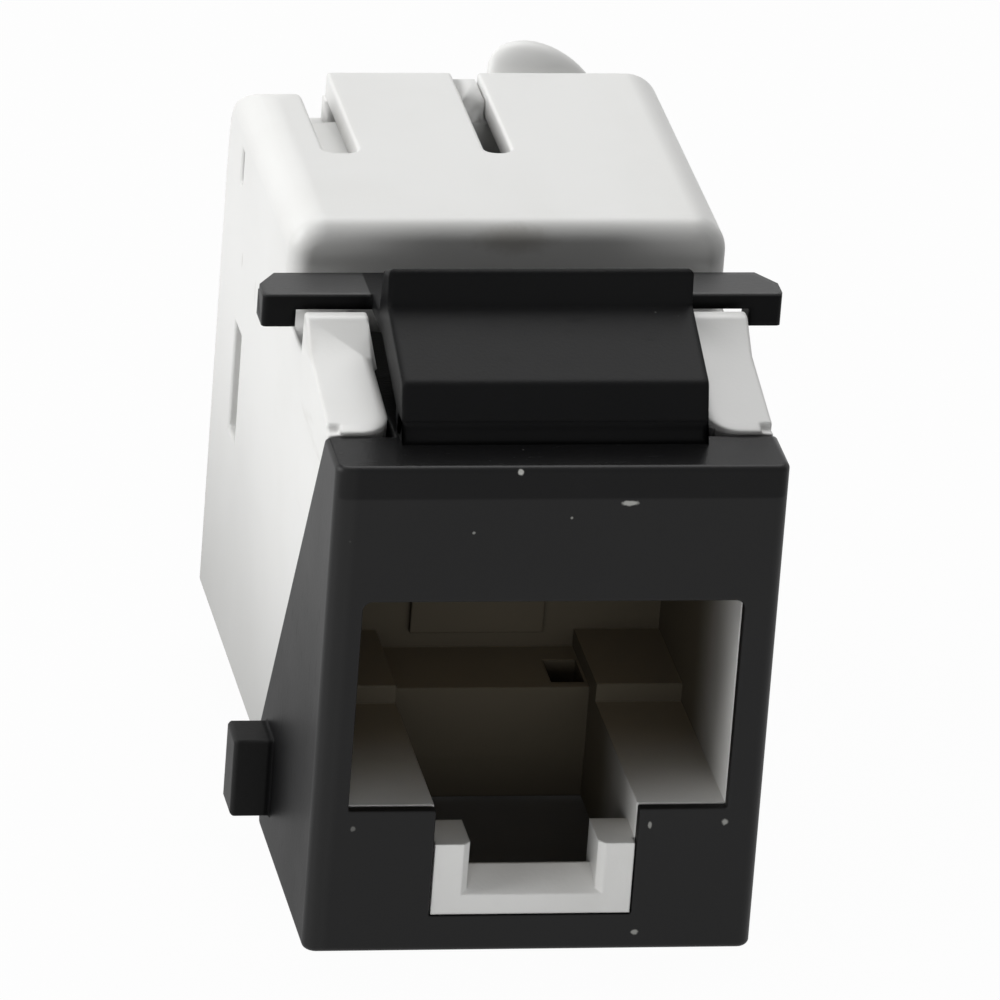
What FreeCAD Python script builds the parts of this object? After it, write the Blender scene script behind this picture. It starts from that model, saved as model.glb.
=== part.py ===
import FreeCAD, Part
import Sketcher
import os
from FreeCAD import Placement, Rotation, Vector

# Keystone jack: a snap-in eight-way modular jack with a push-on wire cap.
# Every body is drawn with X across the mouth, Y running back from the bezel's
# front face and Z up from the bezel's underside. All lengths are millimetres.

doc = FreeCAD.newDocument("keystone_jack")
sheet = doc.addObject("Spreadsheet::Sheet", "Sizes")

SIZES = {
    # general fits
    "seat_gap": 0.06,
    "slide_gap": 0.10,
    "side_gap": 0.08,
    "overrun": 1.00,
    "bite": 0.20,
    # front bezel
    "bezel_height": 16.85,
    "bezel_plate": 0.45,
    "bezel_roof": 1.00,
    "bezel_floor": 1.00,
    "bezel_round": 0.45,
    "bezel_rim_round": 0.20,
    "cheek_wall": 0.55,
    "cheek_top_depth": 2.45,
    "cheek_rear_depth": 10.45,
    "cheek_rear_height": 3.20,
    "floor_depth": 9.30,
    "tongue_rear_gap": 0.50,
    # mouth for the plug and notch for its tab
    "mouth_width": 12.22,
    "mouth_height": 7.28,
    "brow_height": 4.62,
    "mouth_round": 0.30,
    "notch_width": 6.56,
    "notch_bottom": 1.24,
    # hooks on the cheeks
    "hook_reach": 1.30,
    "hook_front": 7.55,
    "hook_depth": 1.60,
    "hook_bottom": 1.20,
    "hook_height": 2.70,
    "hook_round": 0.15,
    # release latch
    "latch_side_gap": 0.23,
    "latch_pivot_depth": 2.72,
    "latch_heel": 0.60,
    "latch_foot_gap": 0.02,
    "ramp_foot_depth": 2.50,
    "ramp_foot_rise": 1.79,
    "ramp_top_depth": 5.90,
    "ramp_top_rise": 3.00,
    "lip_height": 1.05,
    "lip_rake": 0.18,
    "lip_crest": 0.95,
    "latch_plate": 1.15,
    "bar_inset": 0.13,
    "bar_front": 8.55,
    "bar_depth": 1.80,
    "bar_thickness": 0.50,
    "bar_rise": 1.73,
    "bar_corner": 0.60,
    "bar_tab_width": 1.07,
    "bar_tab_drop": 0.47,
    "bar_tab_depth": 1.10,
    "latch_round": 0.15,
    "ramp_round": 0.25,
    # plug housing
    "housing_wall": 0.51,
    "housing_depth": 13.40,
    "housing_rear_wall": 1.00,
    "housing_roof": 0.85,
    "housing_rim": 2.10,
    "housing_sole": 2.45,
    "channel_depth": 9.20,
    "sill_depth": 1.25,
    "sill_front": 1.97,
    "sill_rear": 2.54,
    "arm_width": 1.15,
    "arm_drop": 1.20,
    "arm_depth": 1.90,
    "arm_lead": 0.22,
    "step_front": 8.10,
    "step_rise": 0.62,
    "rear_pad_width": 4.40,
    "rear_pad_height": 2.60,
    "rear_pad_depth": 0.30,
    "core_side_gap": 0.09,
    "core_width": 1.10,
    "core_front": 9.60,
    "core_length": 1.70,
    "core_sink": 1.40,
    # spring contacts
    "contact_spacing": 1.02,
    "contact_wire": 0.46,
    "contact_leaf": 0.34,
    "contact_slot": 0.62,
    "contact_run_rise": 0.44,
    "contact_bend": 0.55,
    "contact_bend_depth": 4.00,
    "contact_tip_depth": 9.90,
    "contact_tip_drop": 3.28,
    "contact_tail": 0.50,
    "slot_lead": 1.00,
    "slot_rear": 11.20,
    # contact carrier
    "carrier_sink": 0.21,
    "carrier_front_gap": 0.10,
    "groove_depth": 1.30,
    "carrier_relief": 0.60,
    # circuit board
    "board_thickness": 1.00,
    "board_side_gap": 0.05,
    "board_drop": 3.00,
    "board_hole": 0.76,
    # termination block and its blades
    "block_base": 1.60,
    "block_side_gap": 0.15,
    "tower_height": 3.00,
    "tower_depth": 5.00,
    "lower_row": 6.50,
    "upper_row_drop": 4.90,
    "blade_spacing": 3.15,
    "blade_width": 2.10,
    "blade_thickness": 0.50,
    "blade_length": 4.60,
    "blade_slit": 0.36,
    "blade_slit_length": 3.40,
    "blade_mouth": 0.55,
    "blade_pin": 0.60,
    "wire_slot": 0.90,
    "wire_slot_depth": 4.00,
    # rear housing
    "shell_step": 0.10,
    "shell_rise": 3.55,
    "shell_bottom": 1.60,
    "shell_front_lead": 2.10,
    "shell_wall": 0.80,
    "shell_roof": 0.90,
    "shell_brow": 1.00,
    "shell_side_round": 1.20,
    "shell_brow_round": 0.70,
    "shell_base_bevel": 0.45,
    "ear_width": 2.02,
    "ear_rise": 0.97,
    "ear_ramp_front": 6.60,
    "ear_ramp_rear": 7.75,
    "ear_ramp_rise": 1.10,
    "ear_crest_rear": 8.20,
    "ear_saddle_rise": 0.45,
    "ear_round": 1.00,
    "ear_tip_round": 0.35,
    "ear_notch": 0.40,
    # wire slots in the rear housing
    "side_slot_centre": -4.62,
    "side_slot_width": 1.15,
    "mid_slot_centre": 0.56,
    "mid_slot_width": 0.88,
    "top_slot_length": 6.90,
    "corner_round": 2.40,
    "slot_round": 0.38,
    "window_inset": 4.90,
    "window_depth": 1.40,
    "window_lift": 1.00,
    "window_height": 3.80,
    "slit_inset": 3.20,
    "slit_depth": 0.50,
    "slit_drop": 2.80,
    "slit_height": 1.20,
    # wire cap
    "cap_gap": 0.80,
    "cap_plate": 2.50,
    "cap_proud": 0.40,
    "cap_arm": 0.70,
    "cap_arm_reach": 3.80,
    "cap_arm_gap": 0.20,
    "cable_hole": 6.20,
    "cable_lead": 0.60,
    "tooth_width": 0.66,
    "tooth_reach": 3.60,
    "tooth_blade_gap": 0.15,
    "key_lead": 0.20,
    "key_sink": 0.25,
    "wire_relief": 1.80,
    "lug_centre": 3.10,
    "lug_radius": 1.70,
    "lug_drop": 1.00,
    "lug_reach": 1.10,
    "lug_round": 0.45,
}


class Size:
    """A length that knows both its value and the sheet formula behind it."""

    def __init__(self, value, text):
        self.value = float(value)
        self.text = text

    @staticmethod
    def of(other):
        if isinstance(other, Size):
            return other
        return Size(other, repr(float(other)))

    def __add__(self, other):
        other = Size.of(other)
        return Size(self.value + other.value, f"({self.text} + {other.text})")

    __radd__ = __add__

    def __sub__(self, other):
        other = Size.of(other)
        return Size(self.value - other.value, f"({self.text} - {other.text})")

    def __rsub__(self, other):
        return Size.of(other) - self

    def __mul__(self, other):
        other = Size.of(other)
        return Size(self.value * other.value, f"({self.text} * {other.text})")

    __rmul__ = __mul__

    def __truediv__(self, other):
        other = Size.of(other)
        return Size(self.value / other.value, f"({self.text} / {other.text})")

    def __neg__(self):
        return Size(-self.value, f"(-1 * {self.text})")


def fill_sheet():
    """Write the table of sizes and hand back one Size for each name."""
    named = {}
    for row, (name, value) in enumerate(SIZES.items(), start=1):
        sheet.set(f"A{row}", name)
        sheet.set(f"B{row}", str(value))
        sheet.setAlias(f"B{row}", name)
        named[name] = Size(value, f"Sizes.{name}")
    doc.recompute()
    return named


D = fill_sheet()

# Shared positions, each derived from the named sizes above.
half_mouth = D["mouth_width"] / 2
half_notch = D["notch_width"] / 2
housing_outer = half_mouth + D["housing_wall"]
cheek_inner = housing_outer + D["side_gap"]
half_bezel = cheek_inner + D["cheek_wall"]
hook_end = half_bezel + D["hook_reach"]
half_bar = hook_end - D["bar_inset"]
shell_half = half_bezel - D["shell_step"]
shell_inner = shell_half - D["shell_wall"]
between = shell_half - D["ear_width"]
half_tongue = between - D["side_gap"]
half_latch = between - D["latch_side_gap"]

mouth_top = D["bezel_height"] - D["brow_height"]
mouth_ledge = mouth_top - D["mouth_height"]
arm_top = mouth_ledge - D["arm_drop"]
roof_top = mouth_top + D["housing_roof"]
housing_bottom = D["bezel_floor"] + D["seat_gap"]
housing_top = D["bezel_height"] - D["bezel_roof"] - D["slide_gap"]
carrier_top = housing_top - D["carrier_sink"]
contact_run = roof_top + D["seat_gap"] + D["contact_run_rise"]
pivot_height = D["bezel_height"] + D["latch_foot_gap"] + D["latch_heel"]
shell_top = D["bezel_height"] + D["shell_rise"]
upper_row = shell_top - D["upper_row_drop"]
cable_height = (D["lower_row"] + upper_row) / 2
arm_low = D["lower_row"] + D["tower_height"] / 2 + D["cap_arm_gap"]
arm_high = upper_row - D["tower_height"] / 2 - D["cap_arm_gap"]

housing_front = D["bezel_plate"] + D["seat_gap"]
shell_front = D["housing_depth"] - D["shell_front_lead"]
tongue_rear = shell_front - D["tongue_rear_gap"]
board_front = D["housing_depth"] + D["slide_gap"]
board_rear = board_front + D["board_thickness"]
block_front = board_rear + D["slide_gap"]
tower_front = block_front + D["block_base"]
tower_rear = tower_front + D["tower_depth"]
cap_front = tower_rear + D["cap_gap"]
cap_rear = cap_front + D["cap_plate"]
shell_rear = cap_rear - D["cap_proud"]

# The shared frame has its origin under the middle of the whole jack.
total_depth = cap_rear + D["lug_reach"]
middle = total_depth / 2
past = D["overrun"]


def new_body(label, x_shift=None, z_shift=None):
    """A body whose front face lies half the jack's depth before the origin."""
    body = doc.addObject("PartDesign::Body", label)
    body.Label = label
    shift = x_shift if x_shift is not None else Size(0, "0")
    lift = z_shift if z_shift is not None else Size(0, "0")
    body.Placement = Placement(Vector(shift.value, -middle.value, lift.value), Rotation())
    body.setExpression("Placement.Base.x", shift.text)
    body.setExpression("Placement.Base.y", f"(-1 * {middle.text})")
    body.setExpression("Placement.Base.z", lift.text)
    return body


def new_sketch(body, name, plane, offset):
    """An empty sketch on one of the body's origin planes, moved along its normal."""
    sketch = body.newObject("Sketcher::SketchObject", name)
    for feature in body.Origin.OriginFeatures:
        if feature.Role == plane:
            sketch.AttachmentSupport = [(feature, "")]
    sketch.MapMode = "FlatFace"
    offset = Size.of(offset)
    sketch.AttachmentOffset = Placement(Vector(0, 0, offset.value), Rotation())
    sketch.setExpression("AttachmentOffset.Base.z", offset.text)
    return sketch


def constrain(sketch, kind, geometry, point, size):
    """Tie one coordinate of a sketch point to its size."""
    value = size.value
    index = sketch.addConstraint(Sketcher.Constraint(kind, -1, 1, geometry, point, value))
    sketch.setExpression(f"Constraints[{index}]", size.text)


def add_polygon(sketch, points):
    """A closed loop of straight lines through points given as pairs of sizes."""
    points = [(Size.of(a), Size.of(b)) for a, b in points]
    first = sketch.GeometryCount
    count = len(points)
    for i in range(count):
        a, b = points[i]
        c, d = points[(i + 1) % count]
        sketch.addGeometry(Part.LineSegment(Vector(a.value, b.value, 0), Vector(c.value, d.value, 0)))
    for i in range(count):
        nxt = first + (i + 1) % count
        sketch.addConstraint(Sketcher.Constraint("Coincident", first + i, 2, nxt, 1))
    for i, (a, b) in enumerate(points):
        constrain(sketch, "DistanceX", first + i, 1, a)
        constrain(sketch, "DistanceY", first + i, 1, b)


def add_box(sketch, low_a, high_a, low_b, high_b):
    """A rectangle between two pairs of sizes."""
    add_polygon(sketch, [(low_a, low_b), (high_a, low_b), (high_a, high_b), (low_a, high_b)])


def add_circle(sketch, a, b, radius):
    """A circle placed and sized from the sheet."""
    a, b, radius = Size.of(a), Size.of(b), Size.of(radius)
    circle = Part.Circle(Vector(a.value, b.value, 0), Vector(0, 0, 1), radius.value)
    index = sketch.addGeometry(circle)
    constrain(sketch, "DistanceX", index, 3, a)
    constrain(sketch, "DistanceY", index, 3, b)
    tie = sketch.addConstraint(Sketcher.Constraint("Radius", index, radius.value))
    sketch.setExpression(f"Constraints[{tie}]", radius.text)


def add_rounded_corner(sketch, right, top, radius):
    """The waste outside a quarter round at the upper right corner of a profile."""
    a, b = right - radius, top - radius
    x, y = right.value, top.value
    r = radius.value
    low, high = Vector(x, y - r, 0), Vector(x - r, y, 0)
    mid = Vector(x - r + r * 0.5 ** 0.5, y - r + r * 0.5 ** 0.5, 0)
    arc = Part.Arc(low, mid, high)
    far_x, far_y = right + 1, top + 1
    corners = [high, Vector(x - r, far_y.value, 0), Vector(far_x.value, far_y.value, 0),
               Vector(far_x.value, y - r, 0), low]
    sketch.addGeometry(arc)
    low_end = 1 if (arc.StartPoint - low).Length < 1e-6 else 2
    for start, end in zip(corners, corners[1:]):
        sketch.addGeometry(Part.LineSegment(start, end))
    sketch.addConstraint(Sketcher.Constraint("Coincident", 0, 3 - low_end, 1, 1))
    for line in (1, 2, 3):
        sketch.addConstraint(Sketcher.Constraint("Coincident", line, 2, line + 1, 1))
    sketch.addConstraint(Sketcher.Constraint("Coincident", 4, 2, 0, low_end))
    for line, across, up in ((1, a, top), (2, a, far_y), (3, far_x, far_y), (4, far_x, b)):
        constrain(sketch, "DistanceX", line, 1, across)
        constrain(sketch, "DistanceY", line, 1, up)
    constrain(sketch, "DistanceX", 4, 2, right)
    constrain(sketch, "DistanceY", 4, 2, b)
    tie = sketch.addConstraint(Sketcher.Constraint("Radius", 0, r))
    sketch.setExpression(f"Constraints[{tie}]", radius.text)


def pad(body, sketch, length, reverse=False, both=False):
    """Extrude a sketch into new material."""
    feature = body.newObject("PartDesign::Pad", sketch.Name + "_pad")
    feature.Profile = sketch
    length = Size.of(length)
    feature.Length = length.value
    feature.setExpression("Length", length.text)
    feature.Reversed = reverse
    feature.Midplane = both
    sketch.Visibility = False
    return feature


def cut(body, sketch, length=None, reverse=False, both=False):
    """Cut a sketch out of the body, to a depth or right through."""
    feature = body.newObject("PartDesign::Pocket", sketch.Name + "_cut")
    feature.Profile = sketch
    if length is None:
        feature.Type = "ThroughAll"
    else:
        length = Size.of(length)
        feature.Length = length.value
        feature.setExpression("Length", length.text)
    feature.Reversed = reverse
    feature.Midplane = both
    sketch.Visibility = False
    return feature


def profile_pad(body, name, points, width):
    """A side profile, in depth and height, carried across the body's middle."""
    sketch = new_sketch(body, name, "YZ_Plane", 0)
    add_polygon(sketch, points)
    return pad(body, sketch, width, both=True)


def front_pad(body, name, boxes, start, depth):
    """Rectangles seen from the front, carried back from one depth to another."""
    sketch = new_sketch(body, name, "XZ_Plane", -Size.of(start))
    for box in boxes:
        add_box(sketch, *box)
    return pad(body, sketch, depth, reverse=True)


def front_cut(body, name, boxes, start, depth=None):
    """Rectangles seen from the front, cut back from one depth to another."""
    sketch = new_sketch(body, name, "XZ_Plane", -Size.of(start))
    for box in boxes:
        add_box(sketch, *box)
    return cut(body, sketch, depth)


def plan_cut(body, name, boxes, start, depth=None):
    """Rectangles seen from above, cut down from one height."""
    sketch = new_sketch(body, name, "XY_Plane", start)
    for box in boxes:
        add_box(sketch, *box)
    return cut(body, sketch, depth)


def edges_where(feature, test):
    """Names of the feature's edges whose end points both pass the test."""
    names = []
    for index, edge in enumerate(feature.Shape.Edges, start=1):
        points = [vertex.Point for vertex in edge.Vertexes]
        middle_point = edge.valueAt((edge.FirstParameter + edge.LastParameter) / 2)
        if points and all(test(point) for point in points + [middle_point]):
            names.append(f"Edge{index}")
    return names


def near(a, b, slack=0.01):
    """Whether a coordinate lies on a size."""
    return abs(a - Size.of(b).value) < slack


def soften(body, base, kind, size, test):
    """Round or bevel the edges of the newest feature that pass the test."""
    doc.recompute()
    names = edges_where(base, test)
    if not names:
        raise ValueError(f"{body.Label}: no edge for {kind}")
    feature = body.newObject(f"PartDesign::{kind}", f"{body.Label}_{kind}")
    feature.Base = (base, names)
    size = Size.of(size)
    prop = "Radius" if kind == "Fillet" else "Size"
    setattr(feature, prop, size.value)
    feature.setExpression(prop, size.text)
    return feature


def repeat(body, feature, axis_role, length, count):
    """Repeat a feature along one of the body's axes."""
    doc.recompute()
    pattern = body.newObject("PartDesign::LinearPattern", feature.Name + "_row")
    pattern.Originals = [feature]
    for origin_feature in body.Origin.OriginFeatures:
        if origin_feature.Role == axis_role:
            pattern.Direction = (origin_feature, [""])
    length = Size.of(length)
    pattern.Length = length.value
    pattern.setExpression("Length", length.text)
    pattern.Occurrences = count
    body.Tip = pattern
    return pattern


def reflect(body, feature):
    """Mirror a feature across the jack's middle plane."""
    doc.recompute()
    mirror = body.newObject("PartDesign::Mirrored", feature.Name + "_mirror")
    mirror.Originals = [feature]
    for origin_feature in body.Origin.OriginFeatures:
        if origin_feature.Role == "YZ_Plane":
            mirror.MirrorPlane = (origin_feature, [""])
    body.Tip = mirror
    return mirror


def build_bezel():
    """Black front frame: plate with the plug mouth, slanted cheeks, floor and hooks."""
    body = new_body("front_bezel")
    height = D["bezel_height"]
    block = profile_pad(body, "bezel_side", [
        (0, 0),
        (D["floor_depth"], 0),
        (D["cheek_rear_depth"], D["cheek_rear_height"]),
        (D["cheek_top_depth"], height),
        (0, height),
    ], half_bezel * 2)
    rounded = soften(body, block, "Fillet", D["bezel_round"],
                     lambda p: near(p.y, 0) and near(abs(p.x), half_bezel))
    soften(body, rounded, "Fillet", D["bezel_rim_round"],
           lambda p: near(p.y, 0, 0.3) and (near(p.z, 0) or near(p.z, height)))
    front_cut(body, "bezel_inside", [(
        -cheek_inner, cheek_inner, D["bezel_floor"], height - D["bezel_roof"],
    )], D["bezel_plate"])
    mouth = new_sketch(body, "bezel_mouth", "XZ_Plane", past)
    add_polygon(mouth, [
        (-half_mouth, mouth_ledge),
        (-half_notch, mouth_ledge),
        (-half_notch, D["notch_bottom"]),
        (half_notch, D["notch_bottom"]),
        (half_notch, mouth_ledge),
        (half_mouth, mouth_ledge),
        (half_mouth, mouth_top),
        (-half_mouth, mouth_top),
    ])
    opened = cut(body, mouth, D["bezel_plate"] + past * 1.5)
    cornered = soften(body, opened, "Fillet", D["mouth_round"],
                      lambda p: near(abs(p.x), half_mouth) and near(p.z, mouth_top)
                      and p.y < D["bezel_plate"].value + 0.01)
    doc.recompute()
    tongue = new_sketch(body, "bezel_tongue", "XY_Plane", height - D["bezel_roof"])
    add_box(tongue, -half_tongue, half_tongue,
            D["cheek_top_depth"] - 0.6, tongue_rear)
    pad(body, tongue, D["bezel_roof"])
    hook = new_sketch(body, "bezel_hook", "YZ_Plane", cheek_inner)
    add_box(hook, D["hook_front"], D["hook_front"] + D["hook_depth"],
            D["hook_bottom"], D["hook_bottom"] + D["hook_height"])
    hook_pad = pad(body, hook, D["cheek_wall"] + D["hook_reach"])
    both = reflect(body, hook_pad)
    soften(body, both, "Fillet", D["hook_round"], lambda p: near(abs(p.x), hook_end))
    return body


def build_latch():
    """Black release latch: heel, catch ramp, stop lip and cross bar with end tabs."""
    body = new_body("release_latch")
    base = D["bezel_height"]
    pivot = D["latch_pivot_depth"]
    heel = new_sketch(body, "latch_heel_disc", "YZ_Plane", 0)
    add_circle(heel, pivot, pivot_height, D["latch_heel"])
    pad(body, heel, half_latch * 2, both=True)
    ramp_foot = base + D["ramp_foot_rise"]
    ramp_top = base + D["ramp_top_rise"]
    lip_top = ramp_top + D["lip_height"]
    lip_front = D["ramp_top_depth"] + D["lip_rake"]
    bar_bottom = base + D["bar_rise"]
    bar_top = bar_bottom + D["bar_thickness"]
    plate = D["latch_plate"]
    profile_pad(body, "latch_side", [
        (pivot - D["latch_heel"], pivot_height),
        (D["ramp_foot_depth"], ramp_foot),
        (D["ramp_top_depth"], ramp_top),
        (lip_front, lip_top),
        (lip_front + D["lip_crest"], lip_top),
        (lip_front + D["lip_crest"] + 0.25, bar_top),
        (D["bar_front"] + D["bar_depth"] / 2, bar_top),
        (D["bar_front"] + D["bar_depth"] / 2, bar_bottom),
        (lip_front + 0.45, bar_bottom),
        (pivot + D["latch_heel"] * 0.8, ramp_foot - plate),
        (pivot, pivot_height - D["latch_heel"] / 2),
    ], half_latch * 2)
    bar_rear = D["bar_front"] + D["bar_depth"]
    bar = new_sketch(body, "latch_bar", "XY_Plane", bar_bottom)
    corner = D["bar_corner"]
    add_polygon(bar, [
        (-half_bar, D["bar_front"]),
        (half_bar, D["bar_front"]),
        (half_bar, bar_rear - corner * 1.5),
        (half_bar - corner, bar_rear),
        (corner - half_bar, bar_rear),
        (-half_bar, bar_rear - corner * 1.5),
    ])
    pad(body, bar, D["bar_thickness"])
    tabs = front_pad(body, "latch_tabs", [
        (half_bar - D["bar_tab_width"], half_bar, bar_bottom - D["bar_tab_drop"],
         bar_bottom + D["bar_thickness"] / 2),
        (-half_bar, D["bar_tab_width"] - half_bar, bar_bottom - D["bar_tab_drop"],
         bar_bottom + D["bar_thickness"] / 2),
    ], D["bar_front"], D["bar_tab_depth"])
    doc.recompute()
    lips = soften(body, tabs, "Fillet", D["latch_round"],
                  lambda p: near(p.z, lip_top) and p.y > D["ramp_top_depth"].value)
    ends = soften(body, lips, "Fillet", D["latch_round"],
                  lambda p: near(abs(p.x), half_bar) and near(p.y, D["bar_front"]))
    soften(body, ends, "Fillet", D["ramp_round"],
           lambda p: near(p.z, ramp_foot) and near(p.y, D["ramp_foot_depth"]))
    return body


def build_plug_housing():
    """Grey insert: plug cavity, tab channel with its locking arms, and contact slots."""
    body = new_body("plug_housing")
    depth = D["housing_depth"]
    front_pad(body, "housing_block", [(-housing_outer, housing_outer, housing_bottom, housing_top)],
              housing_front, depth - housing_front)
    front_cut(body, "housing_cavity", [(
        -half_mouth, half_mouth, mouth_ledge, mouth_top,
    )], housing_front, depth - D["housing_rear_wall"] - housing_front)
    front_cut(body, "housing_channel", [(
        -half_notch, half_notch, housing_bottom - past, mouth_ledge + 0.5,
    )], housing_front, D["channel_depth"] - housing_front)
    front_cut(body, "housing_sole", [(
        -housing_outer - past, housing_outer + past, housing_bottom - past, D["housing_sole"],
    )], D["floor_depth"] - D["seat_gap"])
    inner_side = half_mouth - 0.4
    plan_cut(body, "housing_deck", [(
        -inner_side, inner_side, housing_front + D["housing_rim"], depth + past,
    )], housing_top, housing_top - roof_top)
    slot = new_sketch(body, "housing_slot", "XY_Plane", roof_top)
    first = -D["contact_spacing"] * 3.5
    half_slot = D["contact_slot"] / 2
    add_box(slot, first - half_slot, first + half_slot, D["contact_bend_depth"] - D["slot_lead"], D["slot_rear"])
    slot_cut = cut(body, slot, D["housing_roof"] + 0.4)
    repeat(body, slot_cut, "X_Axis", D["contact_spacing"] * 7, 8)
    # Seats at the back of the ledges that stop the plug's nose.
    front_pad(body, "housing_steps", [
        (half_notch, half_mouth + 0.1, mouth_ledge - 0.1, mouth_ledge + D["step_rise"]),
        (-half_mouth - 0.1, -half_notch, mouth_ledge - 0.1, mouth_ledge + D["step_rise"]),
    ], D["step_front"], depth - D["housing_rear_wall"] / 2 - D["step_front"])
    # Sill and locking arms that fill the bezel's notch.
    frame_half = half_notch - D["seat_gap"]
    sill_bottom = D["notch_bottom"] + D["seat_gap"]
    sill_start = D["seat_gap"]
    profile_pad(body, "housing_sill", [
        (sill_start, sill_bottom),
        (D["sill_depth"], sill_bottom),
        (D["sill_depth"], D["sill_rear"]),
        (sill_start, D["sill_front"]),
    ], frame_half * 2)
    arm_inner = frame_half - D["arm_width"]
    arms = front_pad(body, "housing_arms", [
        (arm_inner, frame_half, sill_bottom, arm_top),
        (-frame_half, -arm_inner, sill_bottom, arm_top),
    ], sill_start, D["arm_depth"] - sill_start)
    soften(body, arms, "Chamfer", D["arm_lead"],
           lambda p: near(p.y, sill_start) and near(abs(p.x), arm_inner) and p.z > D["sill_front"].value - 0.05)
    roots = front_pad(body, "housing_arm_roots", [
        (frame_half - 0.2, half_notch + 0.2, sill_bottom, arm_top),
        (-half_notch - 0.2, 0.2 - frame_half, sill_bottom, arm_top),
    ], housing_front, D["arm_depth"] - housing_front)
    doc.recompute()
    # Raised pad on the rear wall and a cored pocket in the floor beside the channel.
    floor = mouth_ledge + D["step_rise"]
    half_pad = D["rear_pad_width"] / 2
    front_pad(body, "housing_rear_pad", [(-half_pad, half_pad, floor, floor + D["rear_pad_height"])],
              depth - D["housing_rear_wall"] - D["rear_pad_depth"], D["rear_pad_depth"] + D["bite"])
    core_right = half_notch - D["core_side_gap"]
    plan_cut(body, "housing_core", [(
        core_right - D["core_width"], core_right, D["core_front"], D["core_front"] + D["core_length"],
    )], mouth_ledge, D["core_sink"])
    return body


def build_contact(number):
    """Gold spring wire: straight run over the roof, front bend and free leg."""
    offset = D["contact_spacing"] * (number - 4.5)
    body = new_body(f"plug_contact_{number}", x_shift=offset)
    run = contact_run
    bend_y = D["contact_bend_depth"]
    radius = D["contact_bend"]
    tail = board_rear + D["contact_tail"]
    tip_y = D["contact_tip_depth"]
    tip_z = run - D["contact_tip_drop"]
    path = new_sketch(body, f"contact_path_{number}", "YZ_Plane", 0)
    centre = Vector(bend_y.value, run.value - radius.value, 0)
    # Tangent point of the free leg on the bend.
    reach = Vector(tip_y.value, tip_z.value, 0) - centre
    span = (reach.Length ** 2 - radius.value ** 2) ** 0.5
    foot = centre + reach * (radius.value ** 2 / reach.Length ** 2)
    foot = foot + Vector(reach.y, -reach.x, 0) * (radius.value * span / reach.Length ** 2)
    path.addGeometry(Part.LineSegment(Vector(tail.value, run.value, 0), Vector(bend_y.value, run.value, 0)))
    arc = Part.Arc(
        Vector(bend_y.value, run.value, 0),
        Vector(bend_y.value - radius.value, run.value - radius.value, 0),
        foot,
    )
    path.addGeometry(arc)
    path.addGeometry(Part.LineSegment(foot, Vector(tip_y.value, tip_z.value, 0)))
    start_of_arc = 1 if (arc.StartPoint - Vector(bend_y.value, run.value, 0)).Length < 1e-6 else 2
    path.addConstraint(Sketcher.Constraint("Coincident", 0, 2, 1, start_of_arc))
    path.addConstraint(Sketcher.Constraint("Tangent", 1, 3 - start_of_arc, 2, 1))
    constrain(path, "DistanceX", 0, 1, tail)
    constrain(path, "DistanceY", 0, 1, run)
    constrain(path, "DistanceX", 0, 2, bend_y)
    constrain(path, "DistanceY", 0, 2, run)
    constrain(path, "DistanceX", 1, 3, bend_y)
    constrain(path, "DistanceY", 1, 3, run - radius)
    constrain(path, "DistanceX", 2, 2, tip_y)
    constrain(path, "DistanceY", 2, 2, tip_z)
    section = new_sketch(body, f"contact_section_{number}", "XZ_Plane", -tail)
    half_wide, half_thick = D["contact_wire"] / 2, D["contact_leaf"] / 2
    add_box(section, -half_wide, half_wide, run - half_thick, run + half_thick)
    doc.recompute()
    sweep = body.newObject("PartDesign::AdditivePipe", f"contact_wire_{number}")
    sweep.Profile = section
    sweep.Spine = path
    return body


def build_carrier():
    """Black comb that holds the straight runs of the spring contacts down."""
    body = new_body("contact_carrier")
    bottom = roof_top + D["seat_gap"]
    half = half_mouth - 0.4 - D["slide_gap"]
    start = housing_front + D["housing_rim"] + D["carrier_front_gap"]
    block = front_pad(body, "carrier_block", [(-half, half, bottom, carrier_top)],
                      start, D["housing_depth"] - start)
    soften(body, block, "Chamfer", D["carrier_relief"],
           lambda p: near(p.z, carrier_top) and near(p.y, D["housing_depth"]))
    first = -D["contact_spacing"] * 3.5
    half_slot = D["contact_slot"] / 2
    groove = front_cut(body, "carrier_groove", [(
        first - half_slot, first + half_slot, bottom - 0.5, bottom + D["groove_depth"],
    )], start - past)
    repeat(body, groove, "X_Axis", D["contact_spacing"] * 7, 8)
    return body


def blade_columns():
    """Centres of the four insulation-displacement blades in a row."""
    return [D["blade_spacing"] * (column - 1.5) for column in range(4)]


def build_board():
    """Circuit board between the spring contacts and the wire blades."""
    body = new_body("circuit_board")
    half = shell_inner - D["board_side_gap"]
    board_bottom = D["shell_bottom"] + D["shell_roof"] + D["slide_gap"]
    front_pad(body, "board_plate", [(-half, half, board_bottom, shell_top - D["board_drop"])],
              board_front, D["board_thickness"])
    hole = new_sketch(body, "board_hole_sketch", "XZ_Plane", past - board_front)
    add_circle(hole, -D["contact_spacing"] * 3.5, contact_run, D["board_hole"] / 2)
    hole_cut = cut(body, hole)
    repeat(body, hole_cut, "X_Axis", D["contact_spacing"] * 7, 8)
    half_pin = D["blade_pin"] / 2 + D["slide_gap"] / 2
    half_sheet = D["blade_thickness"] / 2 + D["slide_gap"] / 2
    for row, name in ((D["lower_row"], "low"), (upper_row, "high")):
        first = blade_columns()[0]
        pins = front_cut(body, f"board_pins_{name}", [(
            first - half_pin, first + half_pin, row - half_sheet, row + half_sheet,
        )], board_front - past)
        repeat(body, pins, "X_Axis", D["blade_spacing"] * 3, 4)
    return body


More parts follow.
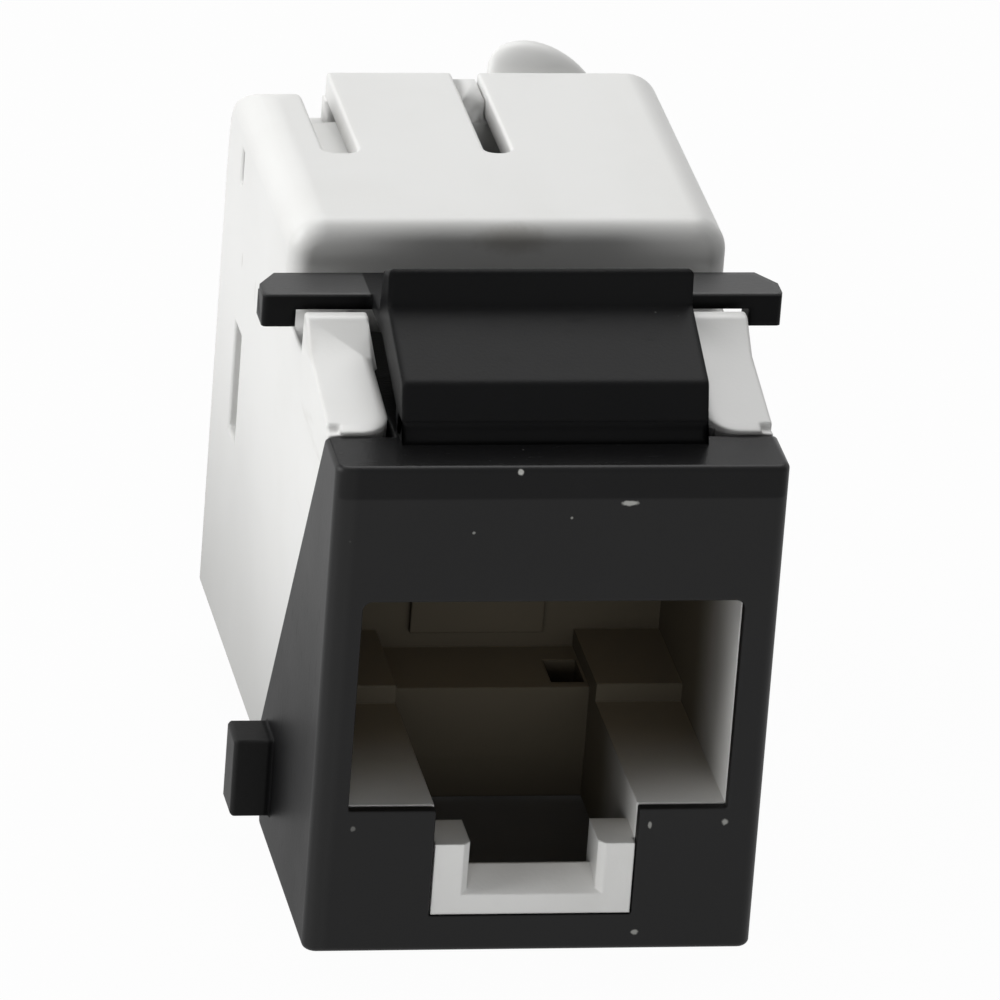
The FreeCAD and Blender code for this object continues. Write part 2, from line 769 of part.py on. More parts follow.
def build_block():
    """Termination block: base and two rows of towers slotted for the wires."""
    body = new_body("termination_block")
    half = shell_inner - D["block_side_gap"]
    base_low = D["lower_row"] - D["tower_height"] / 2
    base_high = upper_row + D["tower_height"] / 2
    front_pad(body, "block_base", [(-half, half, base_low, base_high)], block_front, D["block_base"])
    half_tower = D["tower_height"] / 2
    rows = ((D["lower_row"], "low"), (upper_row, "high"))
    for row, name in rows:
        front_pad(body, f"block_tower_{name}", [(-half, half, row - half_tower, row + half_tower)],
                  tower_front - 0.2, D["tower_depth"] + 0.2)
    first = blade_columns()[0]
    half_blade = D["blade_width"] / 2 + D["slide_gap"]
    half_sheet = D["blade_thickness"] / 2 + D["slide_gap"] / 2
    half_pin = D["blade_pin"] / 2 + D["slide_gap"] / 2
    half_wire = D["wire_slot"] / 2
    for row, name in rows:
        pocket = front_cut(body, f"block_pocket_{name}", [(
            first - half_blade, first + half_blade, row - half_sheet, row + half_sheet,
        )], tower_front)
        repeat(body, pocket, "X_Axis", D["blade_spacing"] * 3, 4)
        pin = front_cut(body, f"block_pin_{name}", [(
            first - half_pin, first + half_pin, row - half_sheet, row + half_sheet,
        )], block_front - past, D["block_base"] + past * 1.5)
        repeat(body, pin, "X_Axis", D["blade_spacing"] * 3, 4)
        wires = front_cut(body, f"block_wires_{name}", [(
            first - half_wire, first + half_wire, row - half_tower - 0.5, row + half_tower + 0.5,
        )], tower_rear - D["wire_slot_depth"])
        repeat(body, wires, "X_Axis", D["blade_spacing"] * 3, 4)
    tail_half = D["contact_spacing"] * 3.5 + D["contact_wire"]
    front_cut(body, "block_tail_relief", [(
        -tail_half, tail_half, contact_run - D["contact_wire"], contact_run + D["contact_wire"],
    )], block_front - past, past + D["contact_tail"])
    return body


def build_blade(number):
    """Insulation-displacement blade: slit fork behind, solder pin in front."""
    columns = blade_columns()
    column = columns[(number - 1) % 4]
    row = upper_row if number <= 4 else D["lower_row"]
    body = new_body(f"wire_blade_{number}", x_shift=column, z_shift=row)
    fork = new_sketch(body, f"blade_fork_{number}", "XY_Plane", 0)
    half = D["blade_width"] / 2
    root = tower_front + D["slide_gap"]
    tail = root + D["blade_length"]
    slit = D["blade_slit"] / 2
    slit_start = tail - D["blade_slit_length"]
    mouth = D["blade_mouth"] / 2 + slit
    half_pin = D["blade_pin"] / 2
    pin_start = D["housing_depth"] + D["seat_gap"]
    add_polygon(fork, [
        (-half_pin, pin_start),
        (half_pin, pin_start),
        (half_pin, root),
        (half, root),
        (half, tail),
        (mouth, tail),
        (slit, tail - D["blade_mouth"]),
        (slit, slit_start),
        (-slit, slit_start),
        (-slit, tail - D["blade_mouth"]),
        (-mouth, tail),
        (-half, tail),
        (-half, root),
        (-half_pin, root),
    ])
    pad(body, fork, D["blade_thickness"], both=True)
    return body


def build_shell():
    """Grey rear housing: ears beside the latch, brow, wire slots and side windows."""
    body = new_body("rear_housing")
    gap = D["seat_gap"]
    ear_top = D["bezel_height"] + D["ear_rise"]
    crest = ear_top + D["ear_ramp_rise"]
    saddle = D["bezel_height"] + D["ear_saddle_rise"]
    # The front edge runs parallel to the bezel's slanted cheek.
    cheek_run = D["cheek_rear_depth"] - D["cheek_top_depth"]
    cheek_fall = D["bezel_height"] - D["cheek_rear_height"]
    drop = D["cheek_rear_height"] - D["shell_bottom"]
    toe_run = drop * (D["cheek_rear_depth"] - D["floor_depth"]) / D["cheek_rear_height"]
    lean = gap * 1.2
    block = profile_pad(body, "shell_side", [
        (D["cheek_rear_depth"] + lean, D["cheek_rear_height"]),
        (D["cheek_rear_depth"] + lean - toe_run, D["shell_bottom"]),
        (shell_rear, D["shell_bottom"]),
        (shell_rear, shell_top),
        (shell_front, shell_top),
        (shell_front, saddle),
        (D["ear_crest_rear"] + 0.05, saddle),
        (D["ear_crest_rear"], crest),
        (D["ear_ramp_rear"], crest),
        (D["ear_ramp_front"], ear_top),
        (D["cheek_top_depth"] + lean, ear_top),
        (D["cheek_top_depth"] + lean, D["bezel_height"]),
    ], shell_half * 2)
    based = soften(body, block, "Chamfer", D["shell_base_bevel"],
                   lambda p: near(p.z, D["shell_bottom"]) and near(abs(p.x), shell_half))
    sided = soften(body, based, "Fillet", D["shell_side_round"],
                   lambda p: near(p.z, shell_top) and near(abs(p.x), shell_half))
    soften(body, sided, "Fillet", D["shell_brow_round"],
           lambda p: near(p.y, shell_front) and near(p.z, shell_top, 1.3) and p.z > saddle.value + 1)
    # Space between the ears for the latch and the bezel's tongue.
    between_cut = front_cut(body, "shell_between", [(
        -between, between, D["bezel_height"] - D["bezel_roof"] - gap, shell_top - past,
    )], 0, shell_front)
    ear_front = D["cheek_top_depth"] + lean
    tips = soften(body, between_cut, "Fillet", D["ear_round"],
                  lambda p: near(p.y, ear_front) and near(abs(p.x), between))
    soften(body, tips, "Fillet", D["ear_tip_round"],
           lambda p: near(p.y, ear_front, 1.1) and near(p.z, ear_top) and abs(p.x) > between.value + 0.01)
    notch = D["ear_notch"]
    plan_cut(body, "shell_ear_notches", [
        (-shell_half - past, notch - shell_half, 0, ear_front + notch),
        (shell_half - notch, shell_half + past, 0, ear_front + notch),
    ], ear_top + past, ear_top + past - D["bezel_height"])
    front_cut(body, "shell_front_inside", [(
        -cheek_inner, cheek_inner, D["housing_sole"] - gap, D["bezel_height"] - D["bezel_roof"],
    )], 0, board_front)
    front_cut(body, "shell_rear_inside", [(
        -shell_inner, shell_inner, D["shell_bottom"] + D["shell_roof"], shell_top - D["shell_roof"],
    )], shell_front + D["shell_brow"])
    slot_front = shell_rear - D["top_slot_length"]
    half_side = D["side_slot_width"] / 2
    half_mid = D["mid_slot_width"] / 2
    slots = plan_cut(body, "shell_slots", [
        (D["side_slot_centre"] - half_side, D["side_slot_centre"] + half_side,
         slot_front, shell_rear + past),
        (D["mid_slot_centre"] - half_mid, D["mid_slot_centre"] + half_mid,
         slot_front, shell_rear + past),
    ], shell_top + past)
    soften(body, slots, "Fillet", D["slot_round"],
           lambda p: near(p.y, slot_front) and (
               near(abs(p.x - D["side_slot_centre"].value), half_side)
               or near(abs(p.x - D["mid_slot_centre"].value), half_mid)))
    # The corner outside the side slot is rounded down towards the rear.
    corner = new_sketch(body, "shell_corner", "YZ_Plane", -shell_half - past)
    add_rounded_corner(corner, shell_rear, shell_top, D["corner_round"])
    cut(body, corner, shell_half + past + D["side_slot_centre"], reverse=True)
    window = new_sketch(body, "shell_window", "YZ_Plane", 0)
    window_front = shell_rear - D["window_inset"]
    window_bottom = arm_low + D["window_lift"]
    add_box(window, window_front, window_front + D["window_depth"],
            window_bottom, window_bottom + D["window_height"])
    slit_front = shell_rear - D["slit_inset"]
    slit_bottom = shell_top - D["slit_drop"]
    add_box(window, slit_front, slit_front + D["slit_depth"], slit_bottom, slit_bottom + D["slit_height"])
    cut(body, window, (shell_half + past) * 2, both=True)
    return body


def build_cap():
    """Grey wire cap: rear plate with cable hole, side arms, stuffing teeth, key and lug."""
    body = new_body("wire_cap")
    gap = D["slide_gap"]
    half = shell_inner - gap
    low = D["shell_bottom"] + D["shell_roof"] + gap
    high = shell_top - D["shell_roof"] - gap
    front_pad(body, "cap_plate", [(-half, half, low, high)], cap_front, cap_rear - cap_front)
    front_pad(body, "cap_arms", [
        (half - D["cap_arm"], half, arm_low, arm_high),
        (-half, D["cap_arm"] - half, arm_low, arm_high),
    ], cap_front - D["cap_arm_reach"], D["cap_arm_reach"] + D["bite"])
    half_tooth = D["tooth_width"] / 2
    near_blade = D["blade_thickness"] / 2 + D["tooth_blade_gap"]
    far = D["tower_height"] / 2
    first = blade_columns()[0]
    for row, name in ((D["lower_row"], "low"), (upper_row, "high")):
        teeth = front_pad(body, f"cap_teeth_{name}", [
            (first - half_tooth, first + half_tooth, row + near_blade, row + far),
            (first - half_tooth, first + half_tooth, row - far, row - near_blade),
        ], cap_front - D["tooth_reach"], D["tooth_reach"] + D["bite"])
        repeat(body, teeth, "X_Axis", D["blade_spacing"] * 3, 4)
    half_key = D["mid_slot_width"] / 2 - D["seat_gap"]
    front_pad(body, "cap_key", [(
        D["mid_slot_centre"] - half_key, D["mid_slot_centre"] + half_key,
        high - D["bite"], shell_top - D["key_sink"],
    )], cap_front + D["key_lead"], D["cap_plate"] - D["cap_proud"] - D["key_lead"])
    half_side = D["side_slot_width"] / 2
    front_cut(body, "cap_wire_relief", [(
        D["side_slot_centre"] - half_side, D["side_slot_centre"] + half_side,
        shell_top - D["wire_relief"], shell_top + past,
    )], cap_front - past)
    hole = new_sketch(body, "cap_cable_hole", "XZ_Plane", past - cap_front)
    add_circle(hole, 0, cable_height, D["cable_hole"] / 2)
    drilled = cut(body, hole)
    soften(body, drilled, "Chamfer", D["cable_lead"],
           lambda p: near(p.y, cap_rear) and abs((p.x ** 2 + (p.z - cable_height.value) ** 2) ** 0.5
                                                 - D["cable_hole"].value / 2) < 0.01)
    lug = new_sketch(body, "cap_lug", "XZ_Plane", D["bite"] * 2 - cap_rear)
    doc.recompute()
    add_circle(lug, D["lug_centre"], shell_top - D["lug_drop"], D["lug_radius"])
    lug_pad = pad(body, lug, D["lug_reach"] + D["bite"] * 2, reverse=True)
    soften(body, lug_pad, "Fillet", D["lug_round"],
           lambda p: near(p.y, cap_rear + D["lug_reach"]))
    return body


def build_all():
    """Build every sub-part and return the bodies in order."""
    bodies = [build_bezel(), build_latch(), build_plug_housing(), build_carrier()]
    bodies.extend(build_contact(number) for number in range(1, 9))
    bodies.append(build_board())
    bodies.append(build_block())
    bodies.extend(build_blade(number) for number in range(1, 9))
    bodies.append(build_shell())
    bodies.append(build_cap())
    return bodies


def check_and_export(bodies):
    """Refuse broken features, then write one STEP file for each sub-part."""
    doc.recompute()
    for item in doc.Objects:
        if "Invalid" in item.State or "Error" in item.State:
            raise ValueError(f"{item.Label} did not build: {item.State}")
    os.makedirs("parts", exist_ok=True)
    for body in bodies:
        shape = body.Shape
        if shape.isNull() or not shape.isValid():
            raise ValueError(f"{body.Label} has no valid solid")
        shape.exportStep(f"parts/{body.Label}.step")


check_and_export(build_all())
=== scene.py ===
import logging
import math
from dataclasses import dataclass, field, replace
from enum import Enum

import bmesh
import bpy
from bpy.types import Material, Mesh, NodeSocket, Object
from mathutils import Matrix, Vector


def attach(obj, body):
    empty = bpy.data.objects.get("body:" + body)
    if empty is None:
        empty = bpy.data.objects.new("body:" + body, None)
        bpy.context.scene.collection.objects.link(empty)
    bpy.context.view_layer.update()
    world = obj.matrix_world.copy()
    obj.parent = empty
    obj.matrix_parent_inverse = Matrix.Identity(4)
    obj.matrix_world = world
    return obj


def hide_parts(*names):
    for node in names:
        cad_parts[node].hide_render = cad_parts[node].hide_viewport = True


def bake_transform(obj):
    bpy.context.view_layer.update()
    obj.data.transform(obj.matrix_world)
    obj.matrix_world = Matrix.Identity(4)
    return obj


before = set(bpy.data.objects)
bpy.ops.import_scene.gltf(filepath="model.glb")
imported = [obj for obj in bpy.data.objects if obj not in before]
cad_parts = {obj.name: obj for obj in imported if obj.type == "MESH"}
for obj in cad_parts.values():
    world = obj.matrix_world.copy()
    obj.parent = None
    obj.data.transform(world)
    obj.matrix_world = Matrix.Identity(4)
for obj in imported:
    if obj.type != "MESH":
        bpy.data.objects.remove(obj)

LOG = logging.getLogger("keystone_jack")
MM = 0.001
HALF_DEPTH = 12.8 * MM  # the front face lies this far before the frame's origin

Point = tuple[float, float, float]
Span = tuple[float, float]
Colour = tuple[float, float, float]
Tint = Colour | NodeSocket
Number = "Value | float"


def at(x: float, depth: float, z: float) -> Vector:
    """A point given across, back from the front face and up, all in millimetres."""
    return Vector((x * MM, depth * MM - HALF_DEPTH, z * MM))


# ---- nodes


class Graph:
    """A node tree and the one way in which nodes are added to it."""

    def __init__(self, tree: bpy.types.NodeTree) -> None:
        """Hold a tree and empty it."""
        self.tree = tree
        tree.nodes.clear()

    def make(self, kind: str, settings: dict | None = None,
             inputs: dict | None = None) -> bpy.types.Node:
        """Add a node.

        Args:
            kind: The node's type.
            settings: Properties, set before its sockets.
            inputs: Values or links by socket name or number.

        Returns:
            The new node.
        """
        node = self.tree.nodes.new(kind)
        for name, value in (settings or {}).items():
            setattr(node, name, value)
        for key, value in (inputs or {}).items():
            socket = node.inputs[key]
            if isinstance(value, Value):
                value = value.socket
            if isinstance(value, NodeSocket):
                self.tree.links.new(value, socket)
            else:
                socket.default_value = value
        return node


class Value:
    """A number in a node tree that takes part in ordinary sums."""

    def __init__(self, graph: Graph, socket: NodeSocket) -> None:
        """Hold a socket and the graph that it belongs to."""
        self.graph = graph
        self.socket = socket

    def _math(self, operation: str, *others: Number, swap: bool = False) -> "Value":
        """Add one Math node.

        Args:
            operation: The node's operation.
            others: Further operands, as values or numbers.
            swap: Whether this value comes last.

        Returns:
            The node's result.
        """
        operands = [*others, self] if swap else [self, *others]
        node = self.graph.make("ShaderNodeMath", {"operation": operation},
                               dict(enumerate(operands)))
        return Value(self.graph, node.outputs[0])

    def __add__(self, other: Number) -> "Value":
        """Sum."""
        return self._math("ADD", other)

    __radd__ = __add__

    def __sub__(self, other: Number) -> "Value":
        """Difference."""
        return self._math("SUBTRACT", other)

    def __rsub__(self, other: float) -> "Value":
        """Difference from a number."""
        return self._math("SUBTRACT", other, swap=True)

    def __mul__(self, other: Number) -> "Value":
        """Product."""
        return self._math("MULTIPLY", other)

    __rmul__ = __mul__

    def __truediv__(self, other: Number) -> "Value":
        """Quotient."""
        return self._math("DIVIDE", other)

    def __pow__(self, other: float) -> "Value":
        """Power."""
        return self._math("POWER", other)

    def most(self, other: Number) -> "Value":
        """The larger of two values."""
        return self._math("MAXIMUM", other)

    def absolute(self) -> "Value":
        """The value without its sign."""
        return self._math("ABSOLUTE")

    def between(self, low: float, high: float) -> "Value":
        """A smooth step from 0 at low to 1 at high.

        Args:
            low: Where the step starts; it may be above high, for a step down.
            high: Where the step ends.

        Returns:
            The step.
        """
        node = self.graph.make("ShaderNodeMapRange", {"interpolation_type": "SMOOTHSTEP"}, {
            "Value": self, "From Min": min(low, high), "From Max": max(low, high),
            "To Min": float(low >= high), "To Max": float(low < high),
        })
        return Value(self.graph, node.outputs["Result"])


@dataclass(frozen=True)
class Noise:
    """A fractal pattern: blotches per metre, octaves, weight of the fine ones, stretch and turn."""

    scale: float
    detail: float = 3.0
    rough: float = 0.5
    stretch: Point = (1.0, 1.0, 1.0)
    turn: Point = (0.0, 0.0, 0.0)


@dataclass(frozen=True)
class Nick:
    """A small mark on a surface: its place and radius in millimetres, its squeeze and strength."""

    x: float
    depth: float
    z: float
    radius: float
    squeeze: Point = (1.0, 1.0, 1.0)
    strength: float = 1.0


@dataclass(frozen=True)
class MarkStyle:
    """How a mark's rim frays, the share of its radius that has its full tint, and the tint."""

    rim: Noise
    swing: float
    least: float
    core: float
    colour: Colour


SCUFF = MarkStyle(Noise(7000.0, 2.0, 0.7), 0.9, 0.55, 0.45, (0.42, 0.42, 0.40))
# The brown tint of stains, also used for a patch of painted shade on the shell.
STAIN_AND_SHADE = MarkStyle(Noise(2500.0, 2.0, 0.7), 0.7, 0.65, 0.2, (0.20, 0.17, 0.12))


class Bench(Graph):
    """One material's node tree, with places on the piece in millimetres."""

    def __init__(self, name: str) -> None:
        """Start an empty material.

        Args:
            name: The material's name.
        """
        self.material = bpy.data.materials.new(name)
        self.material.use_nodes = True
        super().__init__(self.material.node_tree)
        self.place = self.make("ShaderNodeTexCoord").outputs["Object"]
        parts = self.make("ShaderNodeSeparateXYZ", inputs={0: self.place})
        x, y, z = (Value(self, out) for out in parts.outputs)
        self.x = x / MM
        self.depth = (y + HALF_DEPTH) / MM
        self.z = z / MM

    def noise(self, pattern: Noise) -> Value:
        """Fractal noise over the piece, between 0 and 1.

        Args:
            pattern: Its sizes.

        Returns:
            The noise.
        """
        mapping = self.make("ShaderNodeMapping", inputs={
            "Vector": self.place, "Scale": pattern.stretch, "Rotation": pattern.turn,
        })
        node = self.make("ShaderNodeTexNoise", inputs={
            "Vector": mapping.outputs[0], "Scale": pattern.scale,
            "Detail": pattern.detail, "Roughness": pattern.rough,
        })
        return Value(self, node.outputs[0])

    def specks(self, scale: float, radius: float, share: float) -> Value:
        """Sparse round specks, 1 in a speck and 0 elsewhere.

        Args:
            scale: Cells per metre.
            radius: Speck radius as a share of a cell.
            share: Share of the cells that hold a speck.

        Returns:
            The mask.
        """
        cells = self.make("ShaderNodeTexVoronoi", inputs={"Vector": self.place, "Scale": scale})
        near = Value(self, cells.outputs["Distance"]).between(radius, radius * 0.4)
        draw = self.make("ShaderNodeSeparateColor", inputs={"Color": cells.outputs["Color"]})
        return near * Value(self, draw.outputs[0]).between(1.0 - share, 1.0 - share + 0.01)

    def distance(self, centre: Vector, squeeze: Point) -> Value:
        """Distance from a point, in millimetres.

        Args:
            centre: The point.
            squeeze: Scale along each axis, for an oval.

        Returns:
            The distance.
        """
        away = self.make("ShaderNodeVectorMath", {"operation": "SUBTRACT"},
                         {0: self.place, 1: centre})
        oval = self.make("ShaderNodeVectorMath", {"operation": "MULTIPLY"},
                         {0: away.outputs[0], 1: squeeze})
        length = self.make("ShaderNodeVectorMath", {"operation": "LENGTH"}, {0: oval.outputs[0]})
        return Value(self, length.outputs["Value"]) / MM

    @staticmethod
    def rgba(colour: Tint) -> tuple | NodeSocket:
        """A colour socket as it is, or a plain colour with its alpha."""
        return colour if isinstance(colour, NodeSocket) else (*colour, 1.0)

    def mix(self, share: Number, first: Tint, second: Tint) -> NodeSocket:
        """Blend two colours.

        Args:
            share: Share of the second colour.
            first: A colour or colour socket.
            second: A colour or colour socket.

        Returns:
            The blended colour.
        """
        node = self.make("ShaderNodeMix", {"data_type": "RGBA"},
                         {0: share, 6: self.rgba(first), 7: self.rgba(second)})
        return node.outputs[2]

    def marks(self, colour: Tint, nicks: tuple[Nick, ...], style: MarkStyle) -> Tint:
        """A colour with small marks on it.

        Args:
            colour: The clean colour.
            nicks: The marks.
            style: How they look.

        Returns:
            The marked colour.
        """
        if not nicks:
            return colour
        frayed = self.noise(style.rim) * style.swing + style.least
        for nick in nicks:
            reach = self.distance(at(nick.x, nick.depth, nick.z), nick.squeeze) * frayed
            mark = reach.between(nick.radius, nick.radius * style.core)
            colour = self.mix(mark * nick.strength, colour, style.colour)
        return colour

    def skin(self, coat: "Coat", colour: Tint, roughness: Value, grain: Value,
             **fixed: float) -> NodeSocket:
        """Join colour, roughness and fine relief to one shader.

        Args:
            coat: The finish, for its relief, rounding and reflection.
            colour: Base colour.
            roughness: Roughness.
            grain: Height of the fine relief, between 0 and 1.
            fixed: Other unvarying numbers for the shader's own sockets.

        Returns:
            The shader's output.
        """
        edges = self.make("ShaderNodeBevel", {"samples": 6}, {"Radius": coat.rounding * MM})
        bump = self.make("ShaderNodeBump", inputs={
            "Distance": coat.relief * MM, "Height": grain, "Normal": edges.outputs[0],
        })
        shader = self.make("ShaderNodeBsdfPrincipled", inputs={
            "Base Color": self.rgba(colour), "Roughness": roughness,
            "Specular IOR Level": coat.specular, "Normal": bump.outputs[0], **fixed,
        })
        return shader.outputs[0]

    def close(self, surface: NodeSocket) -> Material:
        """Give the material its surface and hand it over."""
        self.make("ShaderNodeOutputMaterial", inputs={"Surface": surface})
        return self.material


# ---- finishes


@dataclass(frozen=True)
class Coat:
    """A finish's name, its roughness and reflection, and its skin's sizes in millimetres."""

    name: str
    roughness: float = 0.46
    specular: float = 0.5
    rounding: float = 0.12
    relief: float = 0.006


@dataclass(frozen=True)
class BlackPlastic(Coat):
    """Black moulding: fine satin grain, faint handling marks and a few pale specks."""

    base: Colour = (0.0044, 0.0044, 0.0046)
    worn: Colour = (0.0070, 0.0070, 0.0072)
    dust: Colour = (0.10, 0.10, 0.095)
    specular: float = 0.22
    matt: float = 0.05
    swing: float = 0.16
    cloud: Noise = Noise(160.0, 4.0, 0.6)
    grain: Noise = Noise(9000.0, 2.0, 0.6)
    rubs: Noise = Noise(700.0, 3.0, 0.6, (1.0, 6.0, 1.0), (0.3, 0.2, 0.5))
    rub_step: Span = (0.60, 0.78)
    nicks: tuple[Nick, ...] = ()

    def tint(self, bench: Bench, cloud: Value, rubs: Value) -> Tint:
        """The colour with its wear, dust and nicks.

        Args:
            bench: The material being made.
            cloud: Broad mottling.
            rubs: Rubbed streaks.

        Returns:
            The colour.
        """
        dust = bench.specks(900.0, 0.045, 0.10)
        colour = bench.mix(cloud.between(0.35, 0.75) * 0.6 + rubs * 0.25, self.base, self.worn)
        colour = bench.mix(dust * 0.5, colour, self.dust)
        return bench.marks(colour, self.nicks, SCUFF)

    def matt_share(self, bench: Bench) -> "Value | None":
        """Where the moulding is duller than the rest; nowhere on plain pieces."""
        return None

    def polish(self, bench: Bench) -> Number:
        """Share of the roughness that is left where the moulding is smoother."""
        return 1.0

    def build(self) -> Material:
        """Make the material.

        Returns:
            The material.
        """
        bench = Bench(self.name)
        cloud = bench.noise(self.cloud)
        rubs = bench.noise(self.rubs).between(*self.rub_step)
        colour = self.tint(bench, cloud, rubs)
        roughness = (cloud - 0.5) * self.swing + self.roughness + rubs * 0.10
        roughness = roughness * self.polish(bench)
        grain = bench.noise(self.grain) * 0.8 + cloud * 0.2
        satin = bench.skin(self, colour, roughness, grain)
        share = self.matt_share(bench)
        if share is None:
            return bench.close(satin)
        matt = bench.skin(replace(self, specular=self.matt), colour, roughness, grain)
        mixed = bench.make("ShaderNodeMixShader", inputs={0: share, 1: satin, 2: matt})
        return bench.close(mixed.outputs[0])


@dataclass(frozen=True)
class BezelPlastic(BlackPlastic):
    """Black moulding of the front frame: duller on its top, top band and lower cheeks, with painted
    light on the face's left edge, on the left hook and in the tab's channel.
    """

    face: Span = (0.20, 0.08)
    band: Span = (15.72, 15.84)
    band_share: float = 0.55
    roof: Span = (16.80, 16.83)
    roof_share: float = 0.60
    roof_polish: float = 0.45
    cheek_side: Span = (7.00, 7.23)
    cheek_fade: Span = (17.0, 5.0)
    cheek_start: Span = (0.2, 0.6)
    # Painted light: a paler strip down the face's left edge.
    strip_edge: Span = (-6.45, -6.75)
    strip_share: float = 0.5
    lit_strip: Colour = (0.014, 0.014, 0.014)
    # Painted light: the outer side of the left hook is painted paler.
    hook_edge: Span = (-7.40, -7.50)
    hook: Colour = (0.018, 0.018, 0.018)
    # Painted light: the tab's channel, which the lamps hardly reach, is painted much paler.
    channel_side: Span = (3.45, 3.30)
    channel_top: Span = (4.5, 4.0)
    channel_start: Span = (1.2, 2.4)
    channel: Colour = (0.11, 0.11, 0.11)

    def matt_share(self, bench: Bench) -> Value:
        """Share of the duller skin.

        Args:
            bench: The material being made.

        Returns:
            The share.
        """
        band = bench.z.between(*self.band) * bench.depth.between(*self.face) * self.band_share
        roof = bench.z.between(*self.roof) * self.roof_share
        cheek = bench.x.absolute().between(*self.cheek_side) * bench.z.between(*self.cheek_fade)
        return band.most(roof).most(cheek * bench.depth.between(*self.cheek_start))

    def polish(self, bench: Bench) -> Value:
        """Share of the roughness that is left on the smooth top."""
        return 1.0 - bench.z.between(*self.roof) * self.roof_polish

    def tint(self, bench: Bench, cloud: Value, rubs: Value) -> Tint:
        """The colour, with painted light that makes it paler on the face's left edge, on the left
        hook and in the tab's channel.

        Args:
            bench: The material being made.
            cloud: Broad mottling.
            rubs: Rubbed streaks.

        Returns:
            The colour.
        """
        colour = super().tint(bench, cloud, rubs)
        # Painted light on the face's left edge, the left hook and the channel.
        lit_strip = bench.x.between(*self.strip_edge) * bench.depth.between(*self.face)
        colour = bench.mix(lit_strip * self.strip_share, colour, self.lit_strip)
        colour = bench.mix(bench.x.between(*self.hook_edge), colour, self.hook)
        inside = bench.x.absolute().between(*self.channel_side)
        inside = inside * bench.z.between(*self.channel_top)
        return bench.mix(inside * bench.depth.between(*self.channel_start), colour, self.channel)


@dataclass(frozen=True)
class LatchPlastic(BlackPlastic):
    """Black moulding of the latch: satin on the tops of its bar, duller elsewhere."""

    bar_top: Span = (19.00, 19.05)
    bar_inner: Span = (4.95, 5.00)

    def matt_share(self, bench: Bench) -> Value:
        """Share of the duller skin."""
        return 1.0 - bench.x.absolute().between(*self.bar_inner) * bench.z.between(*self.bar_top)


@dataclass(frozen=True)
class GreyPlastic(Coat):
    """Pale grey moulding: soft mottling, a satin grain and a trace of handling."""

    roughness: float = 0.42
    specular: float = 0.42
    rounding: float = 0.14
    relief: float = 0.008
    swing: float = 0.12
    base: Colour = (0.72, 0.72, 0.708)
    shade: Colour = (0.665, 0.664, 0.645)
    cloud: Noise = Noise(110.0, 4.0, 0.55)
    cloud_step: Span = (0.42, 0.8)
    flow: Noise = Noise(420.0, 3.0, 0.5, (1.0, 0.3, 1.0))
    flow_step: Span = (0.5, 0.8)
    grain: Noise = Noise(6500.0, 2.0, 0.6)
    waves: Noise = Noise(260.0, 2.0, 0.5)
    # Marks in the brown tint: stains, and on the shell also a patch of painted shade.
    stains_and_shade: tuple[Nick, ...] = ()

    def tint(self, bench: Bench) -> Tint:
        """The mottled colour before any marks.

        Args:
            bench: The material being made.

        Returns:
            The colour.
        """
        cloud = bench.noise(self.cloud).between(*self.cloud_step)
        flow = bench.noise(self.flow).between(*self.flow_step)
        return bench.mix(cloud * 0.55 + flow * 0.2, self.base, self.shade)

    def build(self) -> Material:
        """Make the material.

        Returns:
            The material.
        """
        bench = Bench(self.name)
        colour = bench.marks(self.tint(bench), self.stains_and_shade, STAIN_AND_SHADE)
        waves = bench.noise(self.waves)
        roughness = (waves - 0.5) * self.swing + self.roughness
        grain = bench.noise(self.grain) * 0.35 + waves * 0.65
        return bench.close(bench.skin(self, colour, roughness, grain))


@dataclass(frozen=True)
class ShellPlastic(GreyPlastic):
    """Grey moulding of the rear shell, with painted shade low on its sides, and streaked by
    handling.
    """

    side: Span = (6.75, 7.13)
    # Painted shade: the darker grey low on the sides.
    low: Colour = (0.29, 0.29, 0.280)
    low_shade_fade: Span = (17.0, -1.0)
    edge: Noise = Noise(120.0, 2.0, 0.5)
    edge_swing: float = 3.0
    streaks: Noise = Noise(520.0, 3.0, 0.6, (1.0, 0.35, 1.6), (0.5, 0.0, 0.0))
    streak_step: Span = (0.58, 0.74)
    streak_rise: Span = (12.0, 14.5)
    streak_run: Span = (13.4, 9.3)
    streak_share: float = 0.5
    streak: Colour = (0.56, 0.55, 0.53)

    def tint(self, bench: Bench) -> Tint:
        """The mottled colour with painted shade darkening the lower sides, and faint sloping
        streaks.

        Args:
            bench: The material being made.

        Returns:
            The colour.
        """
        # Painted shade on the lower sides, with a frayed top edge.
        side = bench.x.absolute().between(*self.side)
        height = bench.z + bench.noise(self.edge) * self.edge_swing
        colour = bench.mix(height.between(*self.low_shade_fade) * side, super().tint(bench), self.low)
        zone = bench.z.between(*self.streak_rise) * bench.depth.between(*self.streak_run)
        streaks = bench.noise(self.streaks).between(*self.streak_step) * zone * side
        return bench.mix(streaks * self.streak_share, colour, self.streak)


